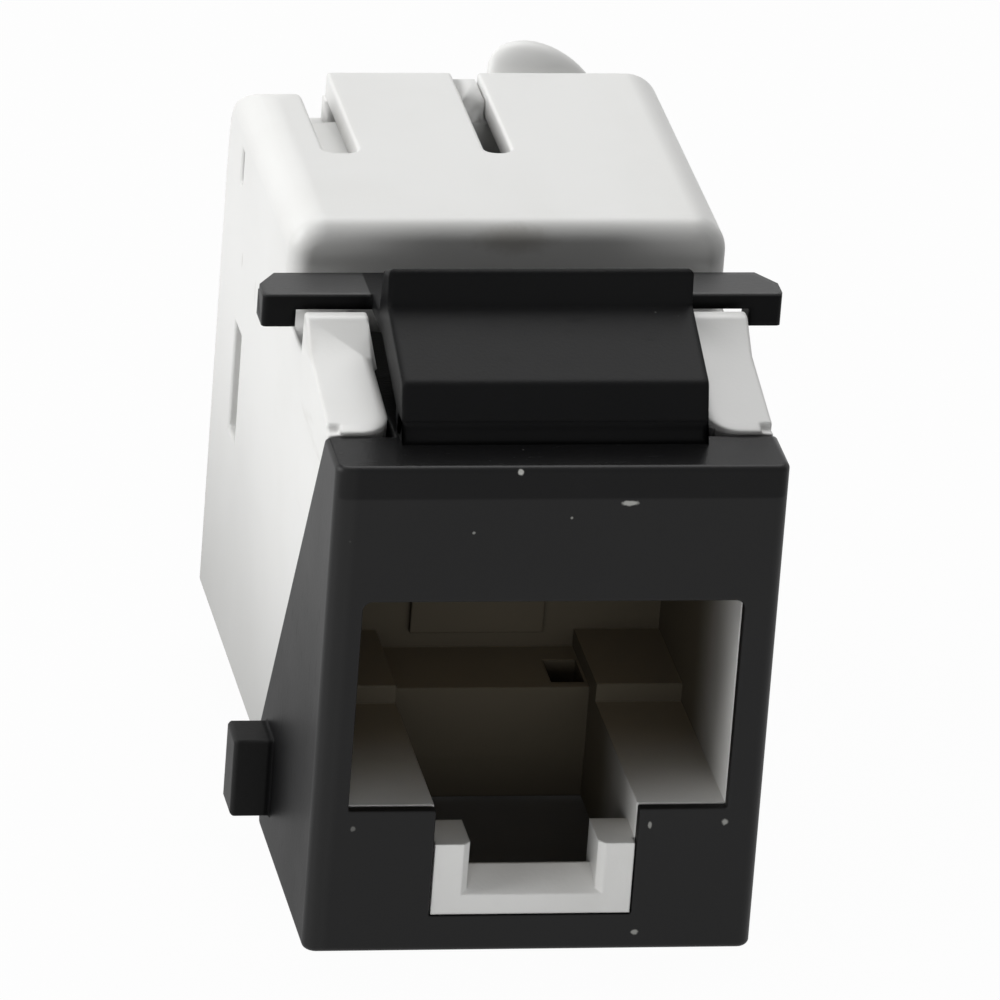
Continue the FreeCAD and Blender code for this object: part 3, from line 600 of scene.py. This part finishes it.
@dataclass(frozen=True)
class MouthPlastic(GreyPlastic):
    """Grey moulding of the plug mouth, which grows rougher towards its back and, as painted shade,
    darkens there to a dark brown grey, with painted light on its upward faces.
    """

    specular: float = 0.35
    rounding: float = 0.10
    relief: float = 0.006
    # Painted shade deep in the mouth, and painted light for its upward faces there.
    deep_shade: Colour = (0.060, 0.051, 0.036)
    ledge_light: Colour = (0.190, 0.165, 0.125)
    ledge_slope: Span = (0.3, 0.8)
    shade_and_dulling: Span = (0.75, 7.5)
    shade_and_dulling_power: float = 0.55
    depth_wobble: Noise = Noise(300.0, 3.0, 0.5)
    depth_wobble_swing: float = 1.2

    def build(self) -> Material:
        """Make the material.

        Returns:
            The material.
        """
        bench = Bench(self.name)
        # Painted shade that deepens towards the back, lightened on upward faces as painted light.
        back = bench.depth + bench.noise(self.depth_wobble) * self.depth_wobble_swing
        share = back.between(*self.shade_and_dulling) ** self.shade_and_dulling_power
        facing = bench.make("ShaderNodeNewGeometry").outputs["Normal"]
        parts = bench.make("ShaderNodeSeparateXYZ", inputs={0: facing})
        level = Value(bench, parts.outputs[2]).between(*self.ledge_slope)
        colour = bench.mix(share, self.tint(bench), bench.mix(level, self.deep_shade, self.ledge_light))
        roughness = share * 0.2 + self.roughness
        return bench.close(bench.skin(self, colour, roughness, bench.noise(self.grain)))


@dataclass(frozen=True)
class PlatedMetal(Coat):
    """Plated spring metal with faint drawing lines and a slightly uneven tarnish."""

    roughness: float = 0.22
    rounding: float = 0.03
    relief: float = 0.003
    bright: Colour = (0.95, 0.66, 0.24)
    dull: Colour = (0.72, 0.47, 0.17)
    tarnish: Noise = Noise(900.0, 3.0, 0.6)
    tarnish_step: Span = (0.4, 0.8)
    lines: Noise = Noise(9000.0, 2.0, 0.6, (1.0, 0.08, 0.08))

    def build(self) -> Material:
        """Make the material.

        Returns:
            The material.
        """
        bench = Bench(self.name)
        tarnish = bench.noise(self.tarnish)
        lines = bench.noise(self.lines)
        colour = bench.mix(tarnish.between(*self.tarnish_step), self.bright, self.dull)
        roughness = tarnish * 0.18 + self.roughness + lines * 0.06
        return bench.close(bench.skin(self, colour, roughness, lines, Metallic=1.0))


@dataclass(frozen=True)
class SolderMask(Coat):
    """Green lacquer over a board, with the weave and copper runs showing faintly."""

    roughness: float = 0.25
    rounding: float = 0.04
    relief: float = 0.02
    green: Colour = (0.010, 0.105, 0.045)
    over_copper: Colour = (0.022, 0.185, 0.075)
    weave_scale: float = 700.0
    runs: Noise = Noise(260.0, 1.0, 0.3, (1.0, 1.0, 0.35))
    run_step: Span = (0.50, 0.53)

    def build(self) -> Material:
        """Make the material.

        Returns:
            The material.
        """
        bench = Bench(self.name)
        warp, weft = (bench.make("ShaderNodeTexWave", {"bands_direction": way},
                                 {"Vector": bench.place, "Scale": self.weave_scale})
                      for way in "XZ")
        weave = Value(bench, warp.outputs[1]) * Value(bench, weft.outputs[1])
        runs = bench.noise(self.runs).between(*self.run_step)
        colour = bench.mix(runs * 0.8 + weave * 0.15, self.green, self.over_copper)
        roughness = weave * 0.08 + self.roughness
        return bench.close(bench.skin(self, colour, roughness, runs * 0.8 + weave * 0.2))


class Finish(Enum):
    """The finishes that the jack's pieces take."""

    BEZEL = "bezel"
    LATCH = "latch"
    CARRIER = "carrier"
    SHELL = "shell"
    CAP = "cap"
    MOUTH = "mouth"
    BLOCK = "block"
    GOLD = "gold"
    TIN = "tin"
    BOARD = "board"


FACE_NICKS = (
    Nick(-1.42, 0.0, 16.71, 0.13),
    Nick(2.14, 0.0, 15.63, 0.16, (0.50, 1.0, 1.5), 0.8),
    Nick(0.32, 0.0, 15.13, 0.06, strength=0.5),
    Nick(-2.77, 0.0, 14.63, 0.06, strength=0.5),
    Nick(-5.93, 0.0, 4.37, 0.11, strength=0.25),
    Nick(3.64, 0.0, 4.41, 0.12, (1.5, 1.0, 0.8), 0.55),
    Nick(6.07, 0.0, 4.49, 0.13, strength=0.6),
    Nick(3.42, 0.0, 0.63, 0.13, (0.9, 1.0, 1.1), 0.7),
    Nick(0.64, 6.54, 1.06, 0.95, (9.0, 1.0, 1.0), 0.35),
    Nick(-1.95, 6.00, 1.06, 0.80, (9.0, 1.0, 1.0), 0.12),
)

LATCH_NICKS = (
    Nick(-1.59, 4.60, 18.98, 0.07, strength=0.35),
    Nick(3.66, 5.60, 19.70, 0.07, strength=0.2),
    Nick(-8.05, 8.40, 19.00, 0.08, strength=0.4),
)

SHELL_STAINS_AND_SHADE = (
    # Painted shade: the first mark darkens the wall behind the latch; the other two are stains on
    # the left side.
    Nick(0.11, 11.30, 19.81, 0.60, (0.35, 1.0, 0.9), 0.35),
    Nick(-7.15, 20.00, 15.40, 0.22, (1.0, 1.6, 0.6), 0.30),
    Nick(-7.15, 17.25, 15.50, 0.60, (1.0, 5.0, 1.0), 0.16),
)

FINISHES = {
    Finish.BEZEL: BezelPlastic("black_bezel_plastic", nicks=FACE_NICKS),
    Finish.LATCH: LatchPlastic("black_latch_plastic", base=(0.0052, 0.0053, 0.0056),
                               worn=(0.0076, 0.0077, 0.0080), roughness=0.36, specular=0.30,
                               matt=0.055, rounding=0.32, nicks=LATCH_NICKS),
    Finish.CARRIER: BlackPlastic("black_comb_plastic", roughness=0.5),
    Finish.SHELL: ShellPlastic("grey_shell_plastic", stains_and_shade=SHELL_STAINS_AND_SHADE),
    Finish.CAP: GreyPlastic("grey_cap_plastic", base=(0.74, 0.74, 0.728),
                            shade=(0.69, 0.688, 0.67)),
    Finish.MOUTH: MouthPlastic("grey_mouth_plastic"),
    Finish.BLOCK: GreyPlastic("grey_block_plastic", base=(0.70, 0.70, 0.685),
                              shade=(0.65, 0.645, 0.625)),
    Finish.GOLD: PlatedMetal("gold_plating"),
    Finish.TIN: PlatedMetal("tin_plating", 0.3, bright=(0.78, 0.77, 0.74), dull=(0.60, 0.58, 0.54)),
    Finish.BOARD: SolderMask("green_solder_mask"),
}


# ---- mesh work


@dataclass
class Workshop:
    """Finishes made once, and the steps that every piece goes through; lengths in millimetres."""

    made: dict[Finish, Material] = field(default_factory=dict)
    weld: float = 0.002
    flat_angle: float = 0.4
    edge_angle: float = 32.0
    edge_segments: int = 3
    face_weight: int = 80

    def material(self, finish: Finish) -> Material:
        """The material of a finish, made when first asked for.

        Args:
            finish: The finish.

        Returns:
            Its material.
        """
        if finish not in self.made:
            self.made[finish] = FINISHES[finish].build()
        return self.made[finish]

    @staticmethod
    def add_object(name: str, data: bpy.types.ID) -> Object:
        """Put a mesh, curve, light or camera in the scene, at the origin.

        Args:
            name: Name of the object.
            data: What it holds.

        Returns:
            The object.
        """
        piece = bpy.data.objects.new(name, data)
        bpy.context.scene.collection.objects.link(piece)
        return piece

    def add_solid(self, name: str, build: bmesh.types.BMesh) -> Object:
        """Turn a shape's faces outwards and put it in the scene.

        Args:
            name: Name of the new piece.
            build: The shape, which is used up.

        Returns:
            The piece.
        """
        bmesh.ops.recalc_face_normals(build, faces=build.faces)
        mesh = bpy.data.meshes.new(name)
        build.to_mesh(mesh)
        build.free()
        return self.add_object(name, mesh)

    @staticmethod
    def loft(outlines: list[list[Vector]]) -> bmesh.types.BMesh:
        """A closed solid through a row of outlines.

        Args:
            outlines: Outlines with the same number of points.

        Returns:
            The solid.
        """
        build = bmesh.new()
        rings = [[build.verts.new(point) for point in outline] for outline in outlines]
        for first, second in zip(rings, rings[1:]):
            for k, corner in enumerate(first):
                after = (k + 1) % len(first)
                build.faces.new((corner, first[after], second[after], second[k]))
        build.faces.new(rings[0])
        build.faces.new(list(reversed(rings[-1])))
        return build

    @staticmethod
    def evaluated(piece: Object) -> Mesh:
        """The mesh that a piece's modifiers make."""
        graph = bpy.context.evaluated_depsgraph_get()
        return bpy.data.meshes.new_from_object(piece.evaluated_get(graph), depsgraph=graph)

    @staticmethod
    def smooth(mesh: Mesh, angle: float | None = None) -> None:
        """Shade a mesh smoothly.

        Args:
            mesh: The mesh.
            angle: Edges sharper than this, in degrees, stay sharp; none do without it.
        """
        for polygon in mesh.polygons:
            polygon.use_smooth = True
        if angle is not None:
            mesh.set_sharp_from_angle(angle=math.radians(angle))

    def soften(self, piece: Object, width: float = 0.0) -> None:
        """Round the piece's sharp edges within its own bounds, and shade it smoothly.

        Args:
            piece: The piece.
            width: Width of the rounding, or 0 to leave it to the finish.
        """
        self.smooth(piece.data, None if width > 0.0 else self.edge_angle)
        if width > 0.0:
            bevel = piece.modifiers.new("rounding", "BEVEL")
            bevel.width = width * MM
            bevel.segments = self.edge_segments
            bevel.limit_method = "ANGLE"
            bevel.angle_limit = math.radians(self.edge_angle)
            bevel.use_clamp_overlap = False
            bevel.miter_outer = "MITER_SHARP"
        normals = piece.modifiers.new("flat_faces", "WEIGHTED_NORMAL")
        normals.mode = "FACE_AREA"
        normals.weight = self.face_weight
        normals.keep_sharp = True
        low, high = ([pick(vertex.co[k] for vertex in piece.data.vertices) for k in range(3)]
                     for pick in (min, max))
        mesh = self.evaluated(piece)
        piece.modifiers.clear()
        piece.data = mesh
        for vertex in mesh.vertices:
            vertex.co = [min(max(vertex.co[k], low[k]), high[k]) for k in range(3)]

    def copy_node(self, node: str, name: str, join: bool = True) -> Object:
        """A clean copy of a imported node's mesh.

        Args:
            node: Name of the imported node.
            name: Name of the new piece.
            join: Whether its triangles are joined into flat faces.

        Returns:
            The new piece, not yet riding on a body.
        """
        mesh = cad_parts[node].data.copy()
        mesh.name = name
        build = bmesh.new()
        build.from_mesh(mesh)
        bmesh.ops.remove_doubles(build, verts=build.verts, dist=self.weld * MM)
        if join:
            bmesh.ops.dissolve_limit(build, angle_limit=math.radians(self.flat_angle),
                                     verts=build.verts, edges=build.edges, delimit={"NORMAL"})
        for edge in build.edges:
            edge.smooth = True
        build.to_mesh(mesh)
        build.free()
        return self.add_object(name, mesh)

    def dress(self, piece: Object, finish: Finish, slot: str, nodes: list[str]) -> None:
        """Give a finished piece its material, hide the imported nodes that it stands for, and log
        it.

        Args:
            piece: The piece.
            finish: Its finish.
            slot: Not used.
            nodes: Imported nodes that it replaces.
        """
        piece.data.materials.clear()
        piece.data.materials.append(self.material(finish))
        if nodes:
            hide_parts(*nodes)
        LOG.info("%s: %d faces, in %s", piece.name, len(piece.data.polygons), finish.value)


# ---- sub-assemblies


@dataclass
class FrontFrame:
    """The black front frame, with its edges rounded; lengths in millimetres, as in all below."""

    shop: Workshop
    rounding: float = 0.07

    def build(self) -> None:
        """Make and dress the piece."""
        piece = self.shop.copy_node("front_bezel", "bezel_moulding")
        self.shop.soften(piece, self.rounding)
        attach(piece, "jack_body")
        self.shop.dress(piece, Finish.BEZEL, "front_bezel", ["front_bezel"])


@dataclass
class ReleaseLatch:
    """The black latch, with its root where it is moulded to the front frame and where the real
    latch bends.
    """

    shop: Workshop
    tab_low: float = 18.30
    tab_inner: float = 7.00
    tab_drop: float = 0.12
    lip_low: float = 20.30
    lip_middle: float = 6.60
    lip_rise: float = 0.08
    lip_fall: float = 0.27
    root_half_width: float = 4.90
    root_front: float = 1.72
    root_riser: float = 2.10
    root_back: float = 2.90
    root_low: float = 16.84
    root_high: float = 17.50
    root_sweep: float = 0.42
    root_steps: int = 8
    root_angle: float = 35.0
    root_stations: tuple[Span, ...] = (
        (-1.0, 0.97), (-0.99, 1.0), (-0.5, 1.0), (0.0, 1.0), (0.5, 1.0), (0.99, 1.0), (1.0, 0.97),
    )
    bend_low: float = 16.90
    bend_high: float = 17.45

    def build(self) -> None:
        """Make and dress the latch and its root."""
        piece = self.shop.copy_node("release_latch", "latch_moulding")
        for vertex in piece.data.vertices:
            if vertex.co.z < self.tab_low * MM and abs(vertex.co.x) > self.tab_inner * MM:
                vertex.co.z -= self.tab_drop * MM
            if vertex.co.z > self.lip_low * MM:
                rear = vertex.co.y + HALF_DEPTH > self.lip_middle * MM
                vertex.co.z += (-self.lip_fall if rear else self.lip_rise) * MM
        self.shop.soften(piece)
        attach(piece, "latch")
        self.shop.dress(piece, Finish.LATCH, "release_latch", ["release_latch"])
        self.root()

    def profile(self) -> list[Span]:
        """The root's outline, with a concave sweep up to the riser.

        Returns:
            Depth and height of its points.
        """
        run = self.root_riser - self.root_front
        points = []
        for step in range(self.root_steps + 1):
            turn = math.pi / 2 * step / self.root_steps
            points.append((self.root_front + run * math.sin(turn),
                           self.root_low + self.root_sweep * (1 - math.cos(turn))))
        return points + [(self.root_riser, self.root_high), (self.root_back, self.root_high),
                         (self.root_back, self.root_low)]

    def root(self) -> None:
        """Make the swept root between the front frame's top and the latch."""
        outline = self.profile()
        build = self.shop.loft([
            [at(share * self.root_half_width,
                self.root_back + (depth - self.root_back) * reach, height)
             for depth, height in outline]
            for share, reach in self.root_stations
        ])
        bmesh.ops.triangulate(build, faces=[face for face in build.faces if len(face.verts) > 4])
        root = self.shop.add_solid("latch_root", build)
        self.shop.smooth(root.data, self.root_angle)
        self.shop.dress(root, Finish.LATCH, "release_latch", [])
        depth = (self.root_riser + self.root_back) / 2
        tuple(at(0.0, depth, self.bend_low))
        tuple(at(0.0, depth, self.bend_high))
        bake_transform(root)


@dataclass
class ContactRow:
    """Eight gold spring wires over the plug mouth, made as one repeated row."""

    shop: Workshop
    count: int = 8
    spacing: float = 1.02
    width: float = 0.46
    leaf: float = 0.34
    corner: float = 0.09
    corner_points: int = 3
    run_height: float = 13.58
    tail_depth: float = 15.00
    bend_depth: float = 4.00
    bend_radius: float = 0.55
    bend_steps: int = 16
    tip_depth: float = 9.90
    tip_drop: float = 3.28
    sharp_angle: float = 50.0

    def path(self) -> list[Vector]:
        """One wire's middle line: its straight run, its front bend and its free leg.

        Returns:
            The line's points.
        """
        centre = Vector((self.bend_depth, self.run_height - self.bend_radius))
        tip = Vector((self.tip_depth, self.run_height - self.tip_drop))
        reach = tip - centre
        span = math.sqrt(reach.length_squared - self.bend_radius ** 2)
        share = self.bend_radius / reach.length_squared
        foot = reach * (self.bend_radius * share) + Vector((reach.y, -reach.x)) * (span * share)
        start = math.pi / 2
        sweep = (math.atan2(foot.y, foot.x) - start) % (2 * math.pi)
        points = [at(0.0, self.tail_depth, self.run_height)]
        for step in range(self.bend_steps + 1):
            turn = start + sweep * step / self.bend_steps
            points.append(at(0.0, centre.x + self.bend_radius * math.cos(turn),
                             centre.y + self.bend_radius * math.sin(turn)))
        points.append(at(0.0, tip.x, tip.y))
        return points

    def tree(self) -> bpy.types.GeometryNodeTree:
        """The nodes that give one path its section and repeat it.

        Returns:
            The node tree.
        """
        tree = bpy.data.node_groups.new("contact_row", "GeometryNodeTree")
        sockets = {"Path": "Geometry", "Wires": "Int", "Spacing": "Float", "Width": "Float",
                   "Leaf": "Float", "Corner": "Float", "Plating": "Material"}
        for name, kind in sockets.items():
            tree.interface.new_socket(name, in_out="INPUT", socket_type=f"NodeSocket{kind}")
        tree.interface.new_socket("Row", in_out="OUTPUT", socket_type="NodeSocketGeometry")
        graph = Graph(tree)
        given = graph.make("NodeGroupInput").outputs
        section = graph.make("GeometryNodeCurvePrimitiveQuadrilateral",
                             inputs={"Width": given["Width"], "Height": given["Leaf"]})
        rounded = graph.make("GeometryNodeFilletCurve", {"mode": "POLY"}, {
            "Curve": section.outputs[0], "Radius": given["Corner"], "Count": self.corner_points,
        })
        wire = graph.make("GeometryNodeCurveToMesh", inputs={
            "Curve": given["Path"], "Profile Curve": rounded.outputs[0], "Fill Caps": True,
        })
        step = graph.make("ShaderNodeCombineXYZ", inputs={"X": given["Spacing"]})
        middle = Value(graph, given["Wires"]) * -0.5 + 0.5
        first = graph.make("ShaderNodeVectorMath", {"operation": "SCALE"},
                           {0: step.outputs[0], "Scale": middle})
        row = graph.make("GeometryNodeMeshLine", inputs={
            "Count": given["Wires"], "Start Location": first.outputs[0],
            "Offset": step.outputs[0],
        })
        place = graph.make("GeometryNodeInstanceOnPoints",
                           inputs={"Points": row.outputs[0], "Instance": wire.outputs[0]})
        real = graph.make("GeometryNodeRealizeInstances", inputs={0: place.outputs[0]})
        plate = graph.make("GeometryNodeSetMaterial",
                           inputs={"Geometry": real.outputs[0], "Material": given["Plating"]})
        graph.make("NodeGroupOutput", inputs={"Row": plate.outputs[0]})
        return tree

    def row_mesh(self) -> Mesh:
        """The row's mesh, from the path and the nodes.

        Returns:
            The mesh.
        """
        curve = bpy.data.curves.new("contact_path", "CURVE")
        curve.dimensions = "3D"
        spline = curve.splines.new("POLY")
        points = self.path()
        spline.points.add(len(points) - 1)
        for point, place in zip(spline.points, points):
            point.co = (*place, 1.0)
        maker = self.shop.add_object("contact_maker", curve)
        modifier = maker.modifiers.new("contact_row", "NODES")
        modifier.node_group = self.tree()
        given = {
            "Wires": self.count, "Spacing": self.spacing * MM, "Width": self.width * MM,
            "Leaf": self.leaf * MM, "Corner": self.corner * MM,
            "Plating": self.shop.material(Finish.GOLD),
        }
        for item in modifier.node_group.interface.items_tree:
            if item.in_out == "INPUT" and item.name in given:
                modifier[item.identifier] = given[item.name]
        mesh = self.shop.evaluated(maker)
        bpy.data.objects.remove(maker)
        mesh.name = "contact_wires"
        return mesh

    def build(self) -> None:
        """Make and dress the row."""
        mesh = self.row_mesh()
        self.shop.smooth(mesh, self.sharp_angle)
        piece = self.shop.add_object("contact_wires", mesh)
        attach(piece, "contacts")
        names = [f"plug_contact_{number}" for number in range(1, self.count + 1)]
        self.shop.dress(piece, Finish.GOLD, "contact_wire", names)


@dataclass
class RearShell:
    """The grey rear housing with its ears, slots and windows."""

    shop: Workshop
    rounding: float = 0.10
    margin: float = 0.02
    bezel_top: float = 16.85
    ear_inner: float = 5.10
    ear_front: float = 2.55
    ear_ramp_front: float = 6.60
    ear_rear: float = 8.40
    ear_top: float = 17.82
    crest_share: float = 0.77
    front_share: float = 0.16
    shelf_across: Span = (-5.60, -3.90)
    shelf_run: Span = (16.90, 21.80)
    shelf_rise: Span = (19.20, 19.62)
    shelf_lead: float = 0.40
    shelf_fall: float = 0.04
    shelf_dish: float = 0.05
    shelf_steps: int = 8

    def slope_ears(self, mesh: Mesh) -> None:
        """Run the ears' flats down to the front frame and settle their crests.

        Args:
            mesh: The shell's mesh.
        """
        ramp = self.ear_ramp_front - self.ear_front
        for vertex in mesh.vertices:
            depth = (vertex.co.y + HALF_DEPTH) / MM
            height = vertex.co.z / MM
            inner = abs(vertex.co.x) < self.ear_inner * MM
            if inner or height < self.bezel_top + self.margin or depth > self.ear_rear:
                continue
            if height > self.ear_top + self.margin:
                height = self.ear_top + (height - self.ear_top) * self.crest_share
            run = min(1.0, max(0.0, (depth - self.ear_front) / ramp))
            share = self.front_share + (1.0 - self.front_share) * run
            vertex.co.z = (self.bezel_top + (height - self.bezel_top) * share) * MM

    def shelf(self) -> None:
        """Make the shallow floor of the slot on the left, dished along its middle."""
        left, right = self.shelf_across
        front, back = self.shelf_run
        low, high = self.shelf_rise
        outlines = []
        for step in range(self.shelf_steps + 1):
            share = step / self.shelf_steps
            x = left + (right - left) * share
            top = high - self.shelf_dish * math.sin(math.pi * share)
            outlines.append([
                at(x, front, low), at(x, front, top),
                at(x, front + self.shelf_lead, top - self.shelf_fall),
                at(x, back, top - self.shelf_fall), at(x, back, low),
            ])
        piece = self.shop.add_solid("slot_shelf", self.shop.loft(outlines))
        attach(piece, "jack_body")
        self.shop.dress(piece, Finish.SHELL, "rear_housing", [])

    def build(self) -> None:
        """Make and dress the shell and its slot's floor."""
        self.shelf()
        piece = self.shop.copy_node("rear_housing", "shell_moulding")
        self.slope_ears(piece.data)
        self.shop.soften(piece, self.rounding)
        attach(piece, "jack_body")
        self.shop.dress(piece, Finish.SHELL, "rear_housing", ["rear_housing"])


@dataclass
class WireCap:
    """The grey cap behind the shell, with the leaning thumb lug on its back."""

    shop: Workshop
    margin: float = 0.02
    disc: Span = (3.10, 19.40)
    disc_radius: float = 1.70
    disc_depth: float = 24.05
    plate_back: float = 24.47
    plate_top: float = 20.05
    lug_x: float = 3.42
    lug_depth: float = 24.62
    lug_height: float = 19.50
    lug_size: Point = (1.80, 0.60, 1.52)
    lug_lean: float = 0.46
    lug_back: float = 0.45
    lug_power: float = 0.8
    lug_segments: int = 48
    lug_rings: int = 24

    def sink_disc(self, mesh: Mesh) -> None:
        """Sink the plain disc on the cap's back into the plate, because the lug stands for it.

        Args:
            mesh: The cap's mesh.
        """
        across, height = self.disc
        for vertex in mesh.vertices:
            depth = (vertex.co.y + HALF_DEPTH) / MM
            away = math.hypot(vertex.co.x / MM - across, vertex.co.z / MM - height)
            if depth > self.disc_depth and away < self.disc_radius + self.margin:
                vertex.co.y = min(vertex.co.y, self.plate_back * MM - HALF_DEPTH)
                vertex.co.z = min(vertex.co.z, self.plate_top * MM)
        build = bmesh.new()
        build.from_mesh(mesh)
        bmesh.ops.remove_doubles(build, verts=build.verts, dist=self.shop.weld * MM)
        bmesh.ops.dissolve_degenerate(build, dist=self.shop.weld * MM, edges=build.edges)
        build.to_mesh(mesh)
        build.free()

    def lug(self) -> None:
        """Make and dress the rounded lug that the cap is pulled by."""
        build = bmesh.new()
        bmesh.ops.create_uvsphere(build, u_segments=self.lug_segments,
                                  v_segments=self.lug_rings, radius=1.0)
        for vertex in build.verts:
            x, y, z = vertex.co
            y = math.copysign(abs(y) ** self.lug_power, y)
            rise = z * self.lug_size[2]
            vertex.co = at(self.lug_x + x * self.lug_size[0] - rise * self.lug_lean,
                           self.lug_depth + y * self.lug_size[1] + max(0.0, rise) * self.lug_back,
                           self.lug_height + rise)
        piece = self.shop.add_solid("cap_thumb_lug", build)
        self.shop.smooth(piece.data)
        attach(piece, "cap")
        self.shop.dress(piece, Finish.CAP, "wire_cap", [])

    def build(self) -> None:
        """Make and dress the cap and its lug."""
        piece = self.shop.copy_node("wire_cap", "cap_moulding", join=False)
        self.sink_disc(piece.data)
        self.shop.soften(piece)
        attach(piece, "cap")
        self.shop.dress(piece, Finish.CAP, "wire_cap", ["wire_cap"])
        self.lug()


@dataclass
class Inside:
    """The plug mouth and the pieces inside the jack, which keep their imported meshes."""

    shop: Workshop
    blades: int = 8

    def build(self) -> None:
        """Dress each node."""
        nodes = {
            "plug_housing": Finish.MOUTH,
            "contact_carrier": Finish.CARRIER,
            "circuit_board": Finish.BOARD,
            "termination_block": Finish.BLOCK,
        }
        nodes |= {f"wire_blade_{number}": Finish.TIN for number in range(1, self.blades + 1)}
        for node, finish in nodes.items():
            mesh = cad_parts[node].data
            mesh.materials.clear()
            mesh.materials.append(self.shop.material(finish))
            LOG.info("%s keeps its packed mesh, in %s", node, finish.value)


# ---- studio


@dataclass(frozen=True)
class Lamp:
    """A soft lamp: its place and its width and height in metres, and its power in watts."""

    name: str
    place: Point
    size: Span
    power: float
    unseen: bool = False


LAMPS = (
    Lamp("key_lamp", (0.05, 0.18, 0.37), (0.32, 0.32), 1.22),
    Lamp("left_lamp", (-0.41, 0.02, 0.17), (0.30, 0.30), 1.85),
    Lamp("low_fill", (-0.004, -0.055, 0.010), (0.06, 0.018), 0.0113, unseen=True),
)


@dataclass
class Studio:
    """Floor, lights and camera; the camera's distance and aim are in millimetres."""

    azimuth: float = -11.5132
    elevation: float = 23.7870
    roll: float = 4.4393
    aim: Point = (-2.0209, 0.0, 15.7569)
    distance: float = 375.6288
    lens: float = 432.0
    sensor: float = 36.0
    clip: Span = (0.01, 20.0)
    floor_half: float = 1.5
    floor_drop: float = 0.02
    paper: Colour = (0.45, 0.45, 0.45)
    paper_glow: float = 0.97
    white: Colour = (1.0, 1.0, 1.0)
    sky: float = 0.10
    lamp_aim: Point = (0.0, 0.0, 0.01)

    @staticmethod
    def white_share(graph: Graph) -> Value:
        """1 where the camera or a mirror image looks, and 0 where light only bounces.

        Args:
            graph: The floor's or the sky's nodes.

        Returns:
            The share.
        """
        path = graph.make("ShaderNodeLightPath")
        direct, gloss, through = (Value(graph, path.outputs[f"Is {ray} Ray"])
                                  for ray in ("Camera", "Glossy", "Transmission"))
        return direct.most(gloss).most(through)

    def floor(self) -> None:
        """Lay a pale floor that keeps the shadow and shows white."""
        mesh = bpy.data.meshes.new("studio_floor")
        half = self.floor_half
        corners = [(-half, -half, 0), (half, -half, 0), (half, half, 0), (-half, half, 0)]
        mesh.from_pydata(corners, [], [(0, 1, 2, 3)])
        floor = Workshop.add_object("studio_floor", mesh)
        floor.location = (0.0, 0.0, -self.floor_drop * MM)
        material = bpy.data.materials.new("floor_paper")
        material.use_nodes = True
        graph = Graph(material.node_tree)
        paper = graph.make("ShaderNodeBsdfDiffuse", inputs={"Color": Bench.rgba(self.paper)})
        glow = graph.make("ShaderNodeEmission", inputs={"Color": Bench.rgba(self.white)})
        mixed = graph.make("ShaderNodeMixShader", inputs={
            0: self.white_share(graph) * self.paper_glow, 1: paper.outputs[0], 2: glow.outputs[0],
        })
        graph.make("ShaderNodeOutputMaterial", inputs={"Surface": mixed.outputs[0]})
        mesh.materials.append(material)

    def world(self) -> None:
        """Hang a plain sky that lights softly and shows white."""
        world = bpy.data.worlds.new("studio_sky")
        bpy.context.scene.world = world
        world.use_nodes = True
        graph = Graph(world.node_tree)
        lit, seen = (graph.make("ShaderNodeBackground",
                                inputs={"Color": Bench.rgba(self.white), "Strength": strength})
                     for strength in (self.sky, 1.0))
        mixed = graph.make("ShaderNodeMixShader", inputs={
            0: self.white_share(graph), 1: lit.outputs[0], 2: seen.outputs[0],
        })
        graph.make("ShaderNodeOutputWorld", inputs={"Surface": mixed.outputs[0]})

    def light(self, lamp: Lamp) -> None:
        """Hang a lamp and turn it towards the jack.

        Args:
            lamp: The lamp.
        """
        data = bpy.data.lights.new(lamp.name, "AREA")
        data.shape = "RECTANGLE"
        data.size, data.size_y = lamp.size
        data.energy = lamp.power
        light = Workshop.add_object(lamp.name, data)
        light.location = lamp.place
        towards = Vector(self.lamp_aim) - Vector(lamp.place)
        light.rotation_euler = towards.to_track_quat("-Z", "Y").to_euler()
        light.visible_camera = light.visible_glossy = not lamp.unseen

    def camera(self) -> None:
        """Set up a long lens that looks down at the front from the left."""
        a, e, r = (math.radians(v) for v in (self.azimuth, self.elevation, self.roll))
        back = Vector((math.sin(a) * math.cos(e), -math.cos(a) * math.cos(e), math.sin(e)))
        right = Vector((math.cos(a), math.sin(a), 0.0))
        up = right.cross(-back)
        side = right * math.cos(r) + up * math.sin(r)
        top = up * math.cos(r) - right * math.sin(r)
        data = bpy.data.cameras.new("camera")
        data.lens = self.lens
        data.sensor_width = self.sensor
        data.clip_start, data.clip_end = self.clip
        camera = Workshop.add_object("camera", data)
        place = at(*self.aim) + back * self.distance * MM
        rotation = Matrix((side, top, back)).transposed()
        camera.matrix_world = Matrix.Translation(place) @ rotation.to_4x4()
        bpy.context.scene.camera = camera

    def build(self) -> None:
        """Set everything up."""
        self.floor()
        self.world()
        for lamp in LAMPS:
            self.light(lamp)
        self.camera()
        bpy.context.scene.view_settings.view_transform = "Standard"


def main() -> None:
    """Build every sub-assembly in order."""
    logging.basicConfig(level=logging.INFO, format="%(message)s")
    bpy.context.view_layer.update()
    shop = Workshop()
    for assembly in (FrontFrame, ReleaseLatch, ContactRow, RearShell, WireCap, Inside):
        assembly(shop).build()
        LOG.info("built %s", assembly.__name__)
    Studio().build()


if __name__ == "__main__":
    main()
